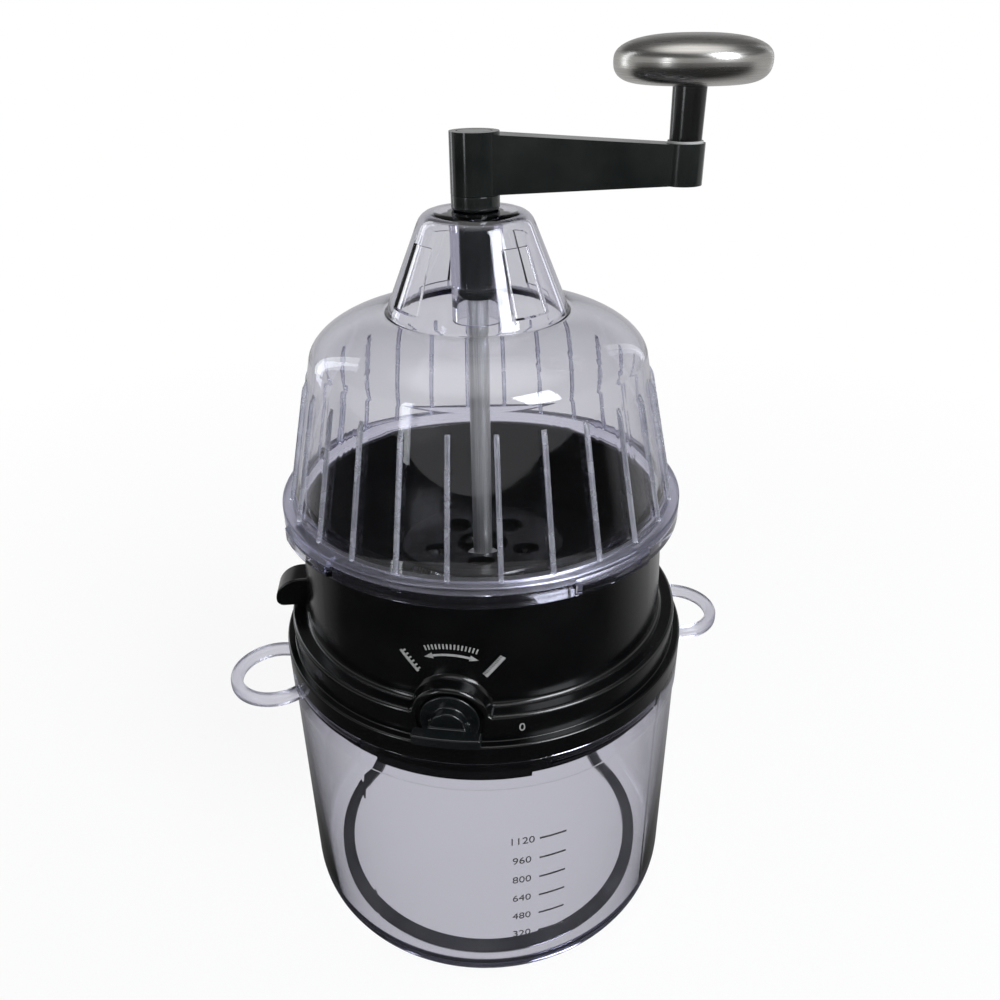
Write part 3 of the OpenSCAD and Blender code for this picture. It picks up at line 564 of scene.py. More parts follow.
satin_black = moulded("satin_black_plastic", (SATIN_BLACK, SATIN_BLACK_WORN), SATIN_ROUGH, SATIN_SHEEN)
unit = turned("unit_ring", unit_outline, zones=unit_lugs)
join(unit, dial_bar("bearing", BEARING_R, THROAT_R + 1.2, WELL_BACK))
join(unit, arch_solid())
join(unit, hook_solid())
join(unit, dial_bar("well", WELL_R, WELL_BACK, BAND_R + 0.4), "DIFFERENCE")
join(unit, dial_bar("shaft_hole", SHAFT_HOLE_R, THROAT_R - 2, WELL_BACK + 1), "DIFFERENCE")
join(unit, block("drum_window", *DRUM_WINDOW), "DIFFERENCE")
stand_for(smoothed(unit, flats=True), "unit_housing", satin_black)
round_off("blade_plate", "blade_floor", satin_black)


# Printed marks. Pale pad prints on the unit's wall show which comb the dial sets: a wide comb, a fine
# comb, a double arrow with a row of graduations above it, and a plain 0 beside the dial.
PRINT_PALE = (0.34, 0.34, 0.335)
PRINT_PALE_WORN = (0.23, 0.23, 0.225)
PRINT_ROUGH = (0.45, 0.6)
PRINT_T = 0.12
PRINT_SINK = 0.02
MARK_REACH = (17.0, 26.0)
MARK_LEAN = 40.0
MARK_W = 0.95
TOOTH_REACH = 1.1
ARROW_R = 20.8
ARROW_HALF = 16.5
ARROW_W = 0.8
ARROW_HEAD = (2.8, 2.1)
ROW_R = 23.9
ROW_HALF = 20.0
ROW_TICKS = 15
ROW_TICK = (0.5, 1.8)
WIDE_TEETH = (6, 0.55)
FINE_TEETH = (13, 0.33)
ZERO_SIZE = 4.4
ZERO_AT = (-71.7, 121.8)


def wrapped(name, cells, sink=0.03):
    """Thin closed prints from flat cells, bent round the unit's wall above the dial."""
    work = bmesh.new()
    for cell in cells:
        layers = []
        for lift in (-sink, PRINT_T):
            layer = []
            for x, z in cell:
                out = wall_at(z) + lift
                spot = Vector((out * math.sin(x / out), -out * math.cos(x / out), z))
                layer.append(work.verts.new(spot * MM))
            layers.append(layer)
        work.faces.new(layers[0])
        work.faces.new(layers[1])
        skin(work, layers, False)
    return piece_of(name, work)


def about_dial(lean, reach, side):
    """A point by its lean from upright and reach from the dial's axis, moved sideways."""
    a = math.radians(lean)
    return (reach * math.sin(a) + side * math.cos(a), DIAL_Z + reach * math.cos(a) - side * math.sin(a))


def spoke(lean, near, far, left, right, parts=6):
    """Cells of a straight stroke that points away from the dial."""
    cells = []
    for i in range(parts):
        low = near + (far - near) * i / parts
        high = near + (far - near) * (i + 1) / parts
        cells.append([about_dial(lean, low, left), about_dial(lean, low, right),
                      about_dial(lean, high, right), about_dial(lean, high, left)])
    return cells


def comb_mark(lean, teeth, width, inner):
    """A comb's spine with teeth of a width along the side towards the arrow."""
    cells = spoke(lean, *MARK_REACH, -MARK_W / 2, MARK_W / 2)
    pitch = (MARK_REACH[1] - MARK_REACH[0]) / teeth
    edge = inner * MARK_W / 2
    for i in range(teeth):
        low = MARK_REACH[0] + pitch * (i + 0.5) - width / 2
        cells += spoke(lean, low, low + width, *sorted((edge, edge + inner * TOOTH_REACH)), parts=1)
    return cells


def double_arrow():
    """An arc round the dial with a head at both ends."""
    cells = []
    parts = 20
    for i in range(parts):
        ends = [-ARROW_HALF + 2 * ARROW_HALF * k / parts for k in (i, i + 1)]
        low, high = ARROW_R - ARROW_W / 2, ARROW_R + ARROW_W / 2
        cells.append([about_dial(ends[0], low, 0), about_dial(ends[1], low, 0),
                      about_dial(ends[1], high, 0), about_dial(ends[0], high, 0)])
    length, width = ARROW_HEAD
    for side in (-1, 1):
        tip = about_dial(side * ARROW_HALF, ARROW_R, side * length)
        cells.append([about_dial(side * ARROW_HALF, ARROW_R - width / 2, 0), tip,
                      about_dial(side * ARROW_HALF, ARROW_R + width / 2, 0)])
    return cells


def numeral(name, text, size, centre, radius, thick=PRINT_T):
    """A plain number, made a mesh and bent round the main axis at a turn and a height."""
    curve = bpy.data.curves.new(name, "FONT")
    curve.body = text
    curve.size = size * MM
    curve.align_x = "CENTER"
    curve.align_y = "CENTER"
    curve.extrude = thick * MM / 2
    curve.resolution_u = 4
    flat = new_piece(name, curve)
    mesh = bpy.data.meshes.new_from_object(flat.evaluated_get(bpy.context.evaluated_depsgraph_get()))
    bpy.data.objects.remove(flat)
    turn, height = centre
    for vert in mesh.vertices:
        out = radius * MM + thick * MM / 2 - PRINT_SINK * MM + vert.co.z
        a = math.radians(turn) + vert.co.x / (radius * MM)
        vert.co = Vector((out * math.cos(a), out * math.sin(a), height * MM + vert.co.y))
    return new_piece(name, mesh)


pad_print = moulded("pale_pad_print", (PRINT_PALE, PRINT_PALE_WORN), PRINT_ROUGH, cloud=700)
marks = comb_mark(-MARK_LEAN, *WIDE_TEETH, 1) + comb_mark(MARK_LEAN, *FINE_TEETH, -1) + double_arrow()
for i in range(ROW_TICKS):
    lean = -ROW_HALF + 2 * ROW_HALF * i / (ROW_TICKS - 1)
    wide, tall = ROW_TICK
    marks += spoke(lean, ROW_R - tall / 2, ROW_R + tall / 2, -wide / 2, wide / 2, 1)
dress(wrapped("comb_marks", marks), "cutting_unit", pad_print)
zero = numeral("safe_zero", "0", ZERO_SIZE, ZERO_AT, BAND_R)
dress(zero, "cutting_unit", pad_print)


# Container scale. Dark screen printed ticks on the outside of the cup, one for each 160 ml above its
# floor, with plain numbers beside them.
SCALE_INK = (0.030, 0.028, 0.030)
SCALE_INK_WORN = (0.075, 0.070, 0.072)
SCALE_ROUGH = (0.4, 0.6)
SCALE_STEP = 9.77
SCALE_ML = 160
SCALE_TICKS = 6
SCALE_FIRST = 2
SCALE_TURN = -63.4
TICK = (9.8, 0.75, 0.14)
NUMBER_TURN = -72.0
NUMBER_SIZE = 4.6


def new_tree(name, wanted):
    """An empty Geometry Nodes tree with named inputs: the tree, its sockets and what they give."""
    group = bpy.data.node_groups.new(name, "GeometryNodeTree")
    sockets = {}
    for label, kind in wanted:
        sockets[label] = group.interface.new_socket(name=label, in_out="INPUT",
                                                    socket_type="NodeSocket" + kind)
    group.interface.new_socket(name="Geometry", in_out="OUTPUT", socket_type="NodeSocketGeometry")
    return group, sockets, group.nodes.new("NodeGroupInput").outputs


def end_tree(group, shape, finish):
    """Gives a tree's shape its finish and sends it out."""
    done = add(group, "GeometryNodeSetMaterial", {"Geometry": shape, "Material": finish})
    group.links.new(done, group.nodes.new("NodeGroupOutput").inputs["Geometry"])


def split(tree, vector):
    """The three parts of a vector."""
    made = tree.nodes.new("ShaderNodeSeparateXYZ")
    tree.links.new(vector, made.inputs[0])
    return made.outputs


def wrapped_row_tree(name):
    """Geometry Nodes: a row of flat ticks, one step apart, bent round the main axis."""
    group, sockets, given = new_tree(name, (
        ("Count", "Int"), ("Step", "Float"), ("Start", "Float"), ("Tick", "Vector"),
        ("Radius", "Float"), ("Turn", "Float"), ("Ink", "Material")))
    step = add(group, "ShaderNodeCombineXYZ", {"Y": given["Step"]})
    start = add(group, "ShaderNodeCombineXYZ", {"Y": given["Start"]})
    row = add(group, "GeometryNodeMeshLine", {"Count": given["Count"], "Start Location": start,
                                              "Offset": step})
    tick = add(group, "GeometryNodeMeshCube", {"Size": given["Tick"], "Vertices X": 9})
    laid = add(group, "GeometryNodeInstanceOnPoints", {"Points": row, "Instance": tick})
    flat = add(group, "GeometryNodeRealizeInstances", {"Geometry": laid})
    x, y, z = split(group, add(group, "GeometryNodeInputPosition", {}))
    swing = maths(group, "DIVIDE", x, given["Radius"])
    angle = maths(group, "ADD", swing, given["Turn"])
    out = maths(group, "ADD", z, given["Radius"])
    across = maths(group, "COSINE", angle)
    along = maths(group, "SINE", angle)
    place = add(group, "ShaderNodeCombineXYZ", {
        "X": maths(group, "MULTIPLY", out, across),
        "Y": maths(group, "MULTIPLY", out, along), "Z": y})
    bent = add(group, "GeometryNodeSetPosition", {"Geometry": flat, "Position": place})
    end_tree(group, bent, given["Ink"])
    return group, sockets


def from_tree(name, mesh, tree, sockets, values):
    """A plain mesh piece from a node tree, with its inputs set by identifier."""
    piece = new_piece(name, mesh)
    maker = piece.modifiers.new("maker", "NODES")
    maker.node_group = tree
    for label, value in values.items():
        maker[sockets[label].identifier] = value
    return to_mesh(piece)


scale_ink = moulded("dark_screen_print", (SCALE_INK, SCALE_INK_WORN), SCALE_ROUGH, cloud=500)
row_tree, row_sockets = wrapped_row_tree("wrapped_row")
ticks = from_tree("scale_ticks", bpy.data.meshes.new("scale_ticks"), row_tree, row_sockets, {
    "Count": SCALE_TICKS, "Step": SCALE_STEP * MM, "Start": (CUP_FLOOR + SCALE_FIRST * SCALE_STEP) * MM,
    "Tick": Vector(TICK) * MM, "Radius": (CUP_R + TICK[2] / 2 - PRINT_SINK) * MM,
    "Turn": math.radians(SCALE_TURN), "Ink": scale_ink})
dress(ticks, "container", scale_ink)
for i in range(SCALE_FIRST, SCALE_FIRST + SCALE_TICKS):
    number = numeral("scale_number_%d" % i, str(SCALE_ML * i), NUMBER_SIZE,
                     (NUMBER_TURN, CUP_FLOOR + SCALE_STEP * i), CUP_R)
    dress(number, "container", scale_ink)


# Blades and screws. Ground stainless strip: the blade and the combs are brushed along their
# length, the coring tube is rolled, and cross recessed screws hold the blade and the plate.
BLADE_STEEL = (0.62, 0.62, 0.61)
BLADE_STEEL_DARK = (0.48, 0.48, 0.48)
BLADE_ROUGH = (0.18, 0.34)
BLADE_STREAKS = (4000, 90, 4000)
RECESS = (0.7, 2.6, 1.2)
SCREW_R = 1.5
BLADE_HEAD = (2.0, 3.0, 1.0)
PLATE_HEAD = (2.8, 2.8, 1.5)
PLATE_SCREW_AT = THROAT_R - 2.7
PLATE_SCREWS = (45, 135, 225, 315)


def brushed(name, tones, rough, stretch, centre=(0, 0, 0)):
    """Steel with fine streaks: the pattern is stretched along the direction of brushing."""
    material, tree, shader = new_finish(name, tones[0], rough[0], metal=1.0)
    where = object_place(tree, stretch, centre)
    streaks = add(tree, "ShaderNodeTexNoise", {"Vector": where, "Scale": 1.0, "Detail": 5.0})
    tree.links.new(two_tone(tree, spread(tree, streaks, 0, 1), *tones), shader.inputs["Base Color"])
    tree.links.new(spread(tree, streaks, *rough), shader.inputs["Roughness"])
    bump = add(tree, "ShaderNodeBump", {"Height": streaks, "Strength": 0.3, "Distance": 0.01 * MM})
    tree.links.new(bump, shader.inputs["Normal"])
    return material


def dress_solid(node, material):
    """Gives a solid that shows as it is a finish of its own."""
    for place in frame["nodes"][node].material_slots:
        place.material = material


def cross_screw_tree(name):
    """Geometry Nodes: a cross recessed head with its shank, set on each point, head up or down."""
    group, sockets, given = new_tree(name, (
        ("Points", "Geometry"), ("Seat Radius", "Float"), ("Top Radius", "Float"), ("Height", "Float"),
        ("Shank Radius", "Float"), ("Shank Length", "Float"), ("Recess", "Vector"),
        ("Turn", "Rotation"), ("Steel", "Material")))
    head = add(group, "GeometryNodeMeshCone", {
        "Vertices": 32, "Radius Top": given["Top Radius"], "Radius Bottom": given["Seat Radius"],
        "Depth": given["Height"]})
    slot_w, slot_l, slot_d = split(group, given["Recess"])
    across = add(group, "ShaderNodeCombineXYZ", {"X": slot_l, "Y": slot_w, "Z": slot_d})
    lift = add(group, "ShaderNodeCombineXYZ", {"Z": given["Height"]})
    bars = []
    for size in (given["Recess"], across):
        bar = add(group, "GeometryNodeMeshCube", {"Size": size})
        bars.append(add(group, "GeometryNodeTransform", {"Geometry": bar, "Translation": lift}))
    cut = group.nodes.new("GeometryNodeMeshBoolean")
    cut.operation = "DIFFERENCE"
    group.links.new(head, cut.inputs["Mesh 1"])
    for bar in bars:
        group.links.new(bar, cut.inputs["Mesh 2"])
    shank = add(group, "GeometryNodeMeshCylinder", {"Vertices": 24, "Radius": given["Shank Radius"],
                                                    "Depth": given["Shank Length"]})
    half = maths(group, "MULTIPLY", given["Shank Length"], -0.5)
    below = add(group, "ShaderNodeCombineXYZ", {"Z": half})
    shank = add(group, "GeometryNodeTransform", {"Geometry": shank, "Translation": below})
    whole = group.nodes.new("GeometryNodeJoinGeometry")
    group.links.new(cut.outputs["Mesh"], whole.inputs["Geometry"])
    group.links.new(shank, whole.inputs["Geometry"])
    set_in = add(group, "GeometryNodeInstanceOnPoints", {
        "Points": given["Points"], "Instance": whole.outputs[0], "Rotation": given["Turn"]})
    end_tree(group, add(group, "GeometryNodeRealizeInstances", {"Geometry": set_in}), given["Steel"])
    return group, sockets


def screw_set(name, node, head, spots, length, turn):
    """Cross recessed screws with their heads' seats on spots, in the place of a node's solids."""
    points = bpy.data.meshes.new(name)
    points.from_pydata([Vector(spot) * MM for spot in spots], [], [])
    screws = from_tree(name, points, screw_tree, screw_sockets, {
        "Seat Radius": head[0] * MM, "Top Radius": head[1] * MM, "Height": head[2] * MM,
        "Shank Radius": SCREW_R * MM, "Shank Length": length, "Recess": Vector(RECESS) * MM,
        "Turn": turn, "Steel": blade_steel})
    stand_for(smoothed(screws), node, blade_steel)


blade_steel = brushed("ground_blade_steel", (BLADE_STEEL, BLADE_STEEL_DARK), BLADE_ROUGH, BLADE_STREAKS)
for node in ("main_blade", "wide_comb", "fine_comb", "coring_tube", "dial_screw"):
    dress_solid(node, blade_steel)
screw_tree, screw_sockets = cross_screw_tree("cross_screw")
low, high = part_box("blade_screws")
seat = high.z / MM - BLADE_HEAD[2]
spots = [((low.x + high.x) / 2 / MM, y / MM, seat)
         for y in (low.y + BLADE_HEAD[1] * MM, high.y - BLADE_HEAD[1] * MM)]
screw_set("blade_screw_set", "blade_screws", BLADE_HEAD, spots, seat * MM - low.z, (0, 0, 0))
low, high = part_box("plate_screws")
seat = low.z / MM + PLATE_HEAD[2]
spots = [(PLATE_SCREW_AT * math.cos(a), PLATE_SCREW_AT * math.sin(a), seat)
         for a in (math.radians(turn) for turn in PLATE_SCREWS)]
screw_set("plate_screw_set", "plate_screws", PLATE_HEAD, spots, high.z - seat * MM, (math.pi, 0, 0))


# Selector. The dial, its bar grip and the comb drum behind it are black mouldings that turn
# together on the shaft. The dial's boss has a half-moon scoop above the bar. The dial's black is painted
# paler than the unit's, a painted sheen that stands in for the light on its bar and edges.
DIAL_PAINTED_SHEEN_BLACK = (0.0044, 0.0056, 0.0063)
DIAL_WORN_AND_SHEEN = (0.0084, 0.0100, 0.0108)
DIAL_ROUGH = (0.16, 0.26)
DIAL_EDGE = 0.6 * MM
SCOOP_LOW = 125.3
SCOOP_STATIONS = ((2.5, 74.1), (3.1, 74.3), (3.5, 74.7), (3.75, 75.2), (3.9, 75.4), (4.4, 75.75), (4.4, 77))


def scoop():
    """The half-moon scoop's shape: a bowl that opens to the front."""
    outline = arc((0, 0), 1.0, 0, 180, 24)

    def spot(size, out):
        return lambda x, z: (x * size, -out, SCOOP_LOW + z * size)

    return prism("scoop", outline, [spot(*station) for station in SCOOP_STATIONS])


dial = join(softened("dial", "selector_dial", DIAL_EDGE, 4, True), scoop(), "DIFFERENCE")
smoothed(dial, 46, flats=True)
# A paler black than the unit's: a painted sheen for the light that the dial's bar and edges catch.
painted_sheen_dial_black = moulded("dial_plastic_painted_sheen", (DIAL_PAINTED_SHEEN_BLACK, DIAL_WORN_AND_SHEEN), DIAL_ROUGH, SATIN_SHEEN)
stand_for(dial, "dial", painted_sheen_dial_black)
round_off("comb_drum", "selector_drum", satin_black)


# Dome. The clear ribbed cover, of the same plastic as the container: a bayonet flange with four bulges,
# ribs that fade out below the crown, a conical neck with four pockets, and a guide tube for the bush.
# The ribs and the flange's rim come out of cuts in the mould that can't be polished: they are matt.
RIB_COUNT = 26
RIB_SECTION = ((-0.8, -0.04), (-0.8, 0.3), (-0.72, 0.75), (-0.5, 1.06), (-0.2, 1.2),
               (0.2, 1.2), (0.5, 1.06), (0.72, 0.75), (0.8, 0.3), (0.8, -0.04))
RIB_CLEAR = 0.86
RIB_TINT = (0.60, 0.60, 0.68)
RIB_TINT_PALE = (0.72, 0.72, 0.79)
RIB_ROUGH = (0.18, 0.32)
FLANGE_RIM = (172.9, 1.3)
FLANGE_RIM_DULL = 0.45
DOME_LOW = 166.6
DOME_FLANGE_TOP = 173.9
DOME_FLANGE_R = 70.0
DOME_LIP_IN = 65.6
DOME_IN = 64.0
DOME_FOOT_R = 66.2
DOME_SHELF_Z = 169.4 + HAIR
DOME_SLOT_R = 68.0
SHOULDER_R = 55.8
SHOULDER_Z = 221.9
DOME_WALL = 2.2
CROWN_Z = 236.3
CROWN_POWER = 2 / 1.78
NECK_FOOT_R = 29.7
NECK_TOP_R = 16.9
NECK_TOP = 267.3 - HAIR
NECK_H = 31.0
RIB_TOP = 216.9
GUIDE_R = (5.6, 6.75, 8.35)
GUIDE_Z = (243.9, 232.3, 265.1)
BULGE_TURN = 45.0
BULGE_HALF = 12.0
BULGE_OUT = 1.3
BULGE_RAMP = 1.2
NECK_ROUND = 4.2
NECK_IN_ROUND = 2.8
POCKET_HALF = 13.0
POCKET_RAMP = 3.0
POCKET_DEPTH = 0.7
POCKET_Z = (0.12, 0.72)
ENTRY_HALF = 6.0
TRACK_TURN = 44.0
TRACK_HALF = 10.5
DOME_RINGS = (182, 190, 198, 206, 214)
DOME_IN_RINGS = (215, 205, 195, 185)


def crown(r_low, r_top, z_low, z_top, count=18):
    """The rounded shoulder between the ribbed wall and the neck."""
    return [(r_top + (r_low - r_top) * math.cos(a) ** CROWN_POWER,
             z_low + (z_top - z_low) * math.sin(a) ** CROWN_POWER)
            for a in (math.pi / 2 * i / count for i in range(1, count))]


def neck_r(z):
    """The conical neck's radius at a height."""
    return NECK_FOOT_R + (NECK_TOP_R - NECK_FOOT_R) * (z - CROWN_Z) / NECK_H


def dome_wall(z):
    """The ribbed wall's radius at a height."""
    rise = (z - DOME_FLANGE_TOP) / (SHOULDER_Z - DOME_FLANGE_TOP)
    return DOME_FOOT_R + (SHOULDER_R - DOME_FOOT_R) * rise


pocket_low = CROWN_Z + POCKET_Z[0] * NECK_H
pocket_high = CROWN_Z + POCKET_Z[1] * NECK_H
dome_outline = rounded(
    [(DOME_LIP_IN, DOME_LOW, 0, "entry"), (DOME_FLANGE_R, DOME_LOW, 0.5),
     (DOME_FLANGE_R, DOME_LOW + 0.65), (DOME_FLANGE_R, DOME_LOW + 1.1, 0, "bulge"),
     (DOME_FLANGE_R, DOME_FLANGE_TOP - 1.8, 0, "bulge"), (DOME_FLANGE_R, DOME_FLANGE_TOP - 1.2),
     (DOME_FLANGE_R, DOME_FLANGE_TOP, 0.7), (DOME_FOOT_R + 0.7, DOME_FLANGE_TOP),
     (dome_wall(DOME_FLANGE_TOP + 0.25) + 0.2, DOME_FLANGE_TOP + 0.2),
     (dome_wall(DOME_FLANGE_TOP + 0.8), DOME_FLANGE_TOP + 0.8)]
    + [(dome_wall(z), z) for z in DOME_RINGS]
    + crown(SHOULDER_R, NECK_FOOT_R, SHOULDER_Z, CROWN_Z)
    + [(NECK_FOOT_R, CROWN_Z, 1.2), (neck_r(pocket_low - 0.4), pocket_low - 0.4),
       (neck_r(pocket_low), pocket_low, 0, "pocket"), (neck_r(pocket_high), pocket_high, 0, "pocket"),
       (neck_r(pocket_high + 0.4), pocket_high + 0.4), (neck_r(NECK_TOP), NECK_TOP, NECK_ROUND),
       (GUIDE_R[0], NECK_TOP, 0.3), (GUIDE_R[0], GUIDE_Z[0]), (GUIDE_R[1], GUIDE_Z[0]),
       (GUIDE_R[1], GUIDE_Z[1], 0.3), (GUIDE_R[2], GUIDE_Z[1], 0.3), (GUIDE_R[2], GUIDE_Z[2], 0.4),
       (neck_r(GUIDE_Z[2]) - DOME_WALL, GUIDE_Z[2], NECK_IN_ROUND),
       (NECK_FOOT_R - DOME_WALL, CROWN_Z - DOME_WALL, 1.6)]
    + crown(SHOULDER_R - DOME_WALL, NECK_FOOT_R - DOME_WALL, SHOULDER_Z, CROWN_Z - DOME_WALL)[::-1]
    + [(dome_wall(z) - DOME_WALL, z) for z in DOME_IN_RINGS]
    + [(DOME_IN, DOME_FLANGE_TOP), (DOME_IN, DOME_SHELF_Z, 0.2),
       (DOME_LIP_IN, DOME_SHELF_Z, 0, "track"), (DOME_LIP_IN, DOME_LOW + 1.05, 0, "track"),
       (DOME_LIP_IN, DOME_LOW + 1.0, 0, "entry")], 6)
dome_zones = {
    "bulge": (BULGE_OUT, quarters(BULGE_TURN), BULGE_HALF, BULGE_RAMP),
    "pocket": (-POCKET_DEPTH, quarters(BULGE_TURN), POCKET_HALF, POCKET_RAMP),
    "entry": (DOME_SLOT_R - DOME_LIP_IN, quarters(TOP_LUG_TURN), ENTRY_HALF, LUG_RAMP),
    "track": (DOME_SLOT_R - DOME_LIP_IN, quarters(TRACK_TURN), TRACK_HALF, LUG_RAMP)}
dome_clear = clear_plastic("clear_dome_plastic")
tree = dome_clear.node_tree
height = split(tree, object_place(tree))["Z"]
on_rim = maths(tree, "COMPARE", height, FLANGE_RIM[0] * MM, FLANGE_RIM[1] * MM)
dulled(dome_clear, on_rim, FLANGE_RIM_DULL)
cover = turned("dome_shell", dome_outline, zones=dome_zones)
stand_for(smoothed(cover), "dome", dome_clear)
cover.visible_shadow = False


def around_tree(name):
    """Geometry Nodes: copies of one shape, evenly spaced round the main axis."""
    group, sockets, given = new_tree(name, (
        ("Shape", "Geometry"), ("Count", "Int"), ("Start", "Float"), ("Finish", "Material")))
    axis = add(group, "GeometryNodeMeshLine", {"Count": given["Count"], "Offset": (0, 0, 0)})
    step = maths(group, "DIVIDE", math.tau, given["Count"])
    which = add(group, "GeometryNodeInputIndex", {})
    turn = maths(group, "MULTIPLY_ADD", which, step, given["Start"])
    spin = add(group, "ShaderNodeCombineXYZ", {"Z": turn})
    spin = add(group, "FunctionNodeEulerToRotation", {"Euler": spin})
    laid = add(group, "GeometryNodeInstanceOnPoints", {
        "Points": axis, "Instance": given["Shape"], "Rotation": spin})
    end_tree(group, add(group, "GeometryNodeRealizeInstances", {"Geometry": laid}), given["Finish"])
    return group, sockets


def rib_station(z, share):
    """Where the rib's section lies at a height, flattened by a share."""
    return lambda across, out: (dome_wall(z) + out * share, across, z)


rib_clear = moulded("matt_rib_plastic", (RIB_TINT, RIB_TINT_PALE), RIB_ROUGH, cloud=150)
shader = rib_clear.node_tree.nodes["Principled BSDF"]
shader.inputs["Transmission Weight"].default_value = RIB_CLEAR
shader.inputs["IOR"].default_value = CLEAR_BEND
rib_ends = [(DOME_FLANGE_TOP + 0.3, 1.0), (DOME_FLANGE_TOP + 14, 1.0), (DOME_FLANGE_TOP + 28, 1.0),
            (RIB_TOP - 3.6, 1.0), (RIB_TOP - 2.4, 0.86), (RIB_TOP - 1.2, 0.52), (RIB_TOP - 0.2, 0.08)]
one_rib = prism("dome_ribs", list(RIB_SECTION), [rib_station(z, share) for z, share in rib_ends])
rib_mesh = one_rib.data
bpy.data.objects.remove(one_rib)
around, around_sockets = around_tree("around_axis")
ribs = from_tree("dome_ribs", rib_mesh, around, around_sockets,
                 {"Count": RIB_COUNT, "Start": -math.pi / 2, "Finish": rib_clear})
dress(smoothed(ribs, 60), "dome", rib_clear)
ribs.visible_shadow = False


# Crank. A glossy black moulded arm with a hub at one end and a boss for the grip at the other. The hub
# stands on a collar that turns in the dome's neck, and a pressed in cap hides the hub's screw.
GLOSS_BLACK = (0.0075, 0.0088, 0.0086)
GLOSS_BLACK_WORN = (0.0115, 0.013, 0.0125)
GLOSS_ROUGH = (0.10, 0.22)
GLOSS_SHEEN = 0.45
ARM_EDGE = 0.8 * MM

gloss_black = moulded("gloss_black_plastic", (GLOSS_BLACK, GLOSS_BLACK_WORN), GLOSS_ROUGH, GLOSS_SHEEN,
                      depth=0.01 * MM)
round_off("neck_bush", "neck_collar", gloss_black)
round_off("crank_arm", "crank_lever", gloss_black, ARM_EDGE, 4)
round_off("hub_cap", "hub_cover", gloss_black)


# Rod and food holder. A drawn steel rod hangs from the hub and slides through the collar. A ring and a
# screw hold a moulded black disc on its end, with steel pins that grip the food.
ROD_STEEL = (0.72, 0.72, 0.71)
ROD_STEEL_DARK = (0.52, 0.52, 0.52)
ROD_ROUGH = (0.40, 0.54)
ROD_STREAKS = (3000, 3000, 60)

rod_steel = brushed("drawn_rod_steel", (ROD_STEEL, ROD_STEEL_DARK), ROD_ROUGH, ROD_STREAKS)
for node in ("drive_rod", "rod_collar", "rod_screw", "holder_pins", "grip_pin", "hub_screw"):
    dress_solid(node, rod_steel)
round_off("food_holder", "holder_disc", satin_black)


# Knob. Two pressed stainless shells, satin finished by turning, meet at the rim. They sit on a black post
# that turns on a steel pin, over a pale plastic washer.
KNOB_STEEL = (0.56, 0.545, 0.52)
KNOB_STEEL_DARK = (0.49, 0.475, 0.455)
KNOB_ROUGH = (0.24, 0.32)
KNOB_STREAKS = (60, 60, 2600)
KNOB_SIDES = 144
KNOB_R = 22.5
KNOB_RIM = 307.8
KNOB_TOP_H = 7.0
KNOB_LOW_H = 6.2
KNOB_WALL = 1.0
KNOB_FLAT_R = 12.0
KNOB_HOLE_R = 5.1
KNOB_POWER = 0.8
UNDER_POWER = 0.76
WASHER_PALE = (0.62, 0.62, 0.61)
WASHER_PALE_WORN = (0.52, 0.52, 0.51)
WASHER_ROUGH = (0.42, 0.56)
grip_low, grip_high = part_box("knob_cap")
grip_axis = (grip_low + grip_high) / 2


def knob_quarter(r_end, z_end, power, count=40):
    """Half of the knob's section, from its rim to the middle of its top."""
    return [(r_end * math.cos(a) ** power, KNOB_RIM + (z_end - KNOB_RIM) * math.sin(a) ** power, "")
            for a in (math.pi / 2 * i / count for i in range(count + 1))]


def knob_under(r_end, low, count=16):
    """The knob's underside, from its flat middle out to the rim."""
    return [(KNOB_FLAT_R + (r_end - KNOB_FLAT_R) * math.sin(a) ** UNDER_POWER,
             KNOB_RIM - (KNOB_RIM - low) * math.cos(a) ** UNDER_POWER, "")
            for a in (math.pi / 2 * i / count for i in range(count + 1))]


def on_grip(piece):
    """Moves a turned piece from the main axis to the grip's."""
    piece.data.transform(Matrix.Translation((grip_axis.x, grip_axis.y, 0)))
    return piece


washer_pale = moulded("pale_washer_plastic", (WASHER_PALE, WASHER_PALE_WORN), WASHER_ROUGH)
dress_solid("grip_washer", washer_pale)
round_off("grip_stem", "grip_post", satin_black)
knob_steel = brushed("satin_knob_steel", (KNOB_STEEL, KNOB_STEEL_DARK), KNOB_ROUGH, KNOB_STREAKS, grip_axis)
knob_low = KNOB_RIM - KNOB_LOW_H
pan_outline = [(KNOB_HOLE_R, knob_low, "")] + knob_under(KNOB_R, knob_low)
pan_outline += knob_under(KNOB_R - KNOB_WALL, knob_low + KNOB_WALL)[::-1]
pan_outline.append((KNOB_HOLE_R, knob_low + KNOB_WALL, ""))
cap_outline = knob_quarter(KNOB_R, KNOB_RIM + KNOB_TOP_H, KNOB_POWER)
cap_outline += knob_quarter(KNOB_R - KNOB_WALL, KNOB_RIM + KNOB_TOP_H - KNOB_WALL, KNOB_POWER)[::-1]
stand_for(smoothed(on_grip(turned("knob_base", pan_outline, KNOB_SIDES))), "knob_pan", knob_steel)
stand_for(smoothed(on_grip(turned("knob_top", cap_outline, KNOB_SIDES))), "knob_cap", knob_steel)


# Stage. A pale floor under soft studio light. The camera and clear plastic see it nearly white, fading to
# white with distance, and it keeps the object's shadow. Gloss sees it dark in front and pale behind.
FLOOR_SIZE = 6.0
FLOOR_PALE = (0.80, 0.80, 0.80)
FLOOR_FADE = (0.15, 0.70)
FLOOR_SHARE = (0.88, 1.0)
THROUGH_LEVEL = 0.72
WINDOW_TINT = (0.93, 0.97, 1.0)
GLOSS_LEVEL = (0.03, 0.55)
GLOSS_BACK = (-0.05, 0.25)
LAMP_AIM = (0, 0, 0.2)
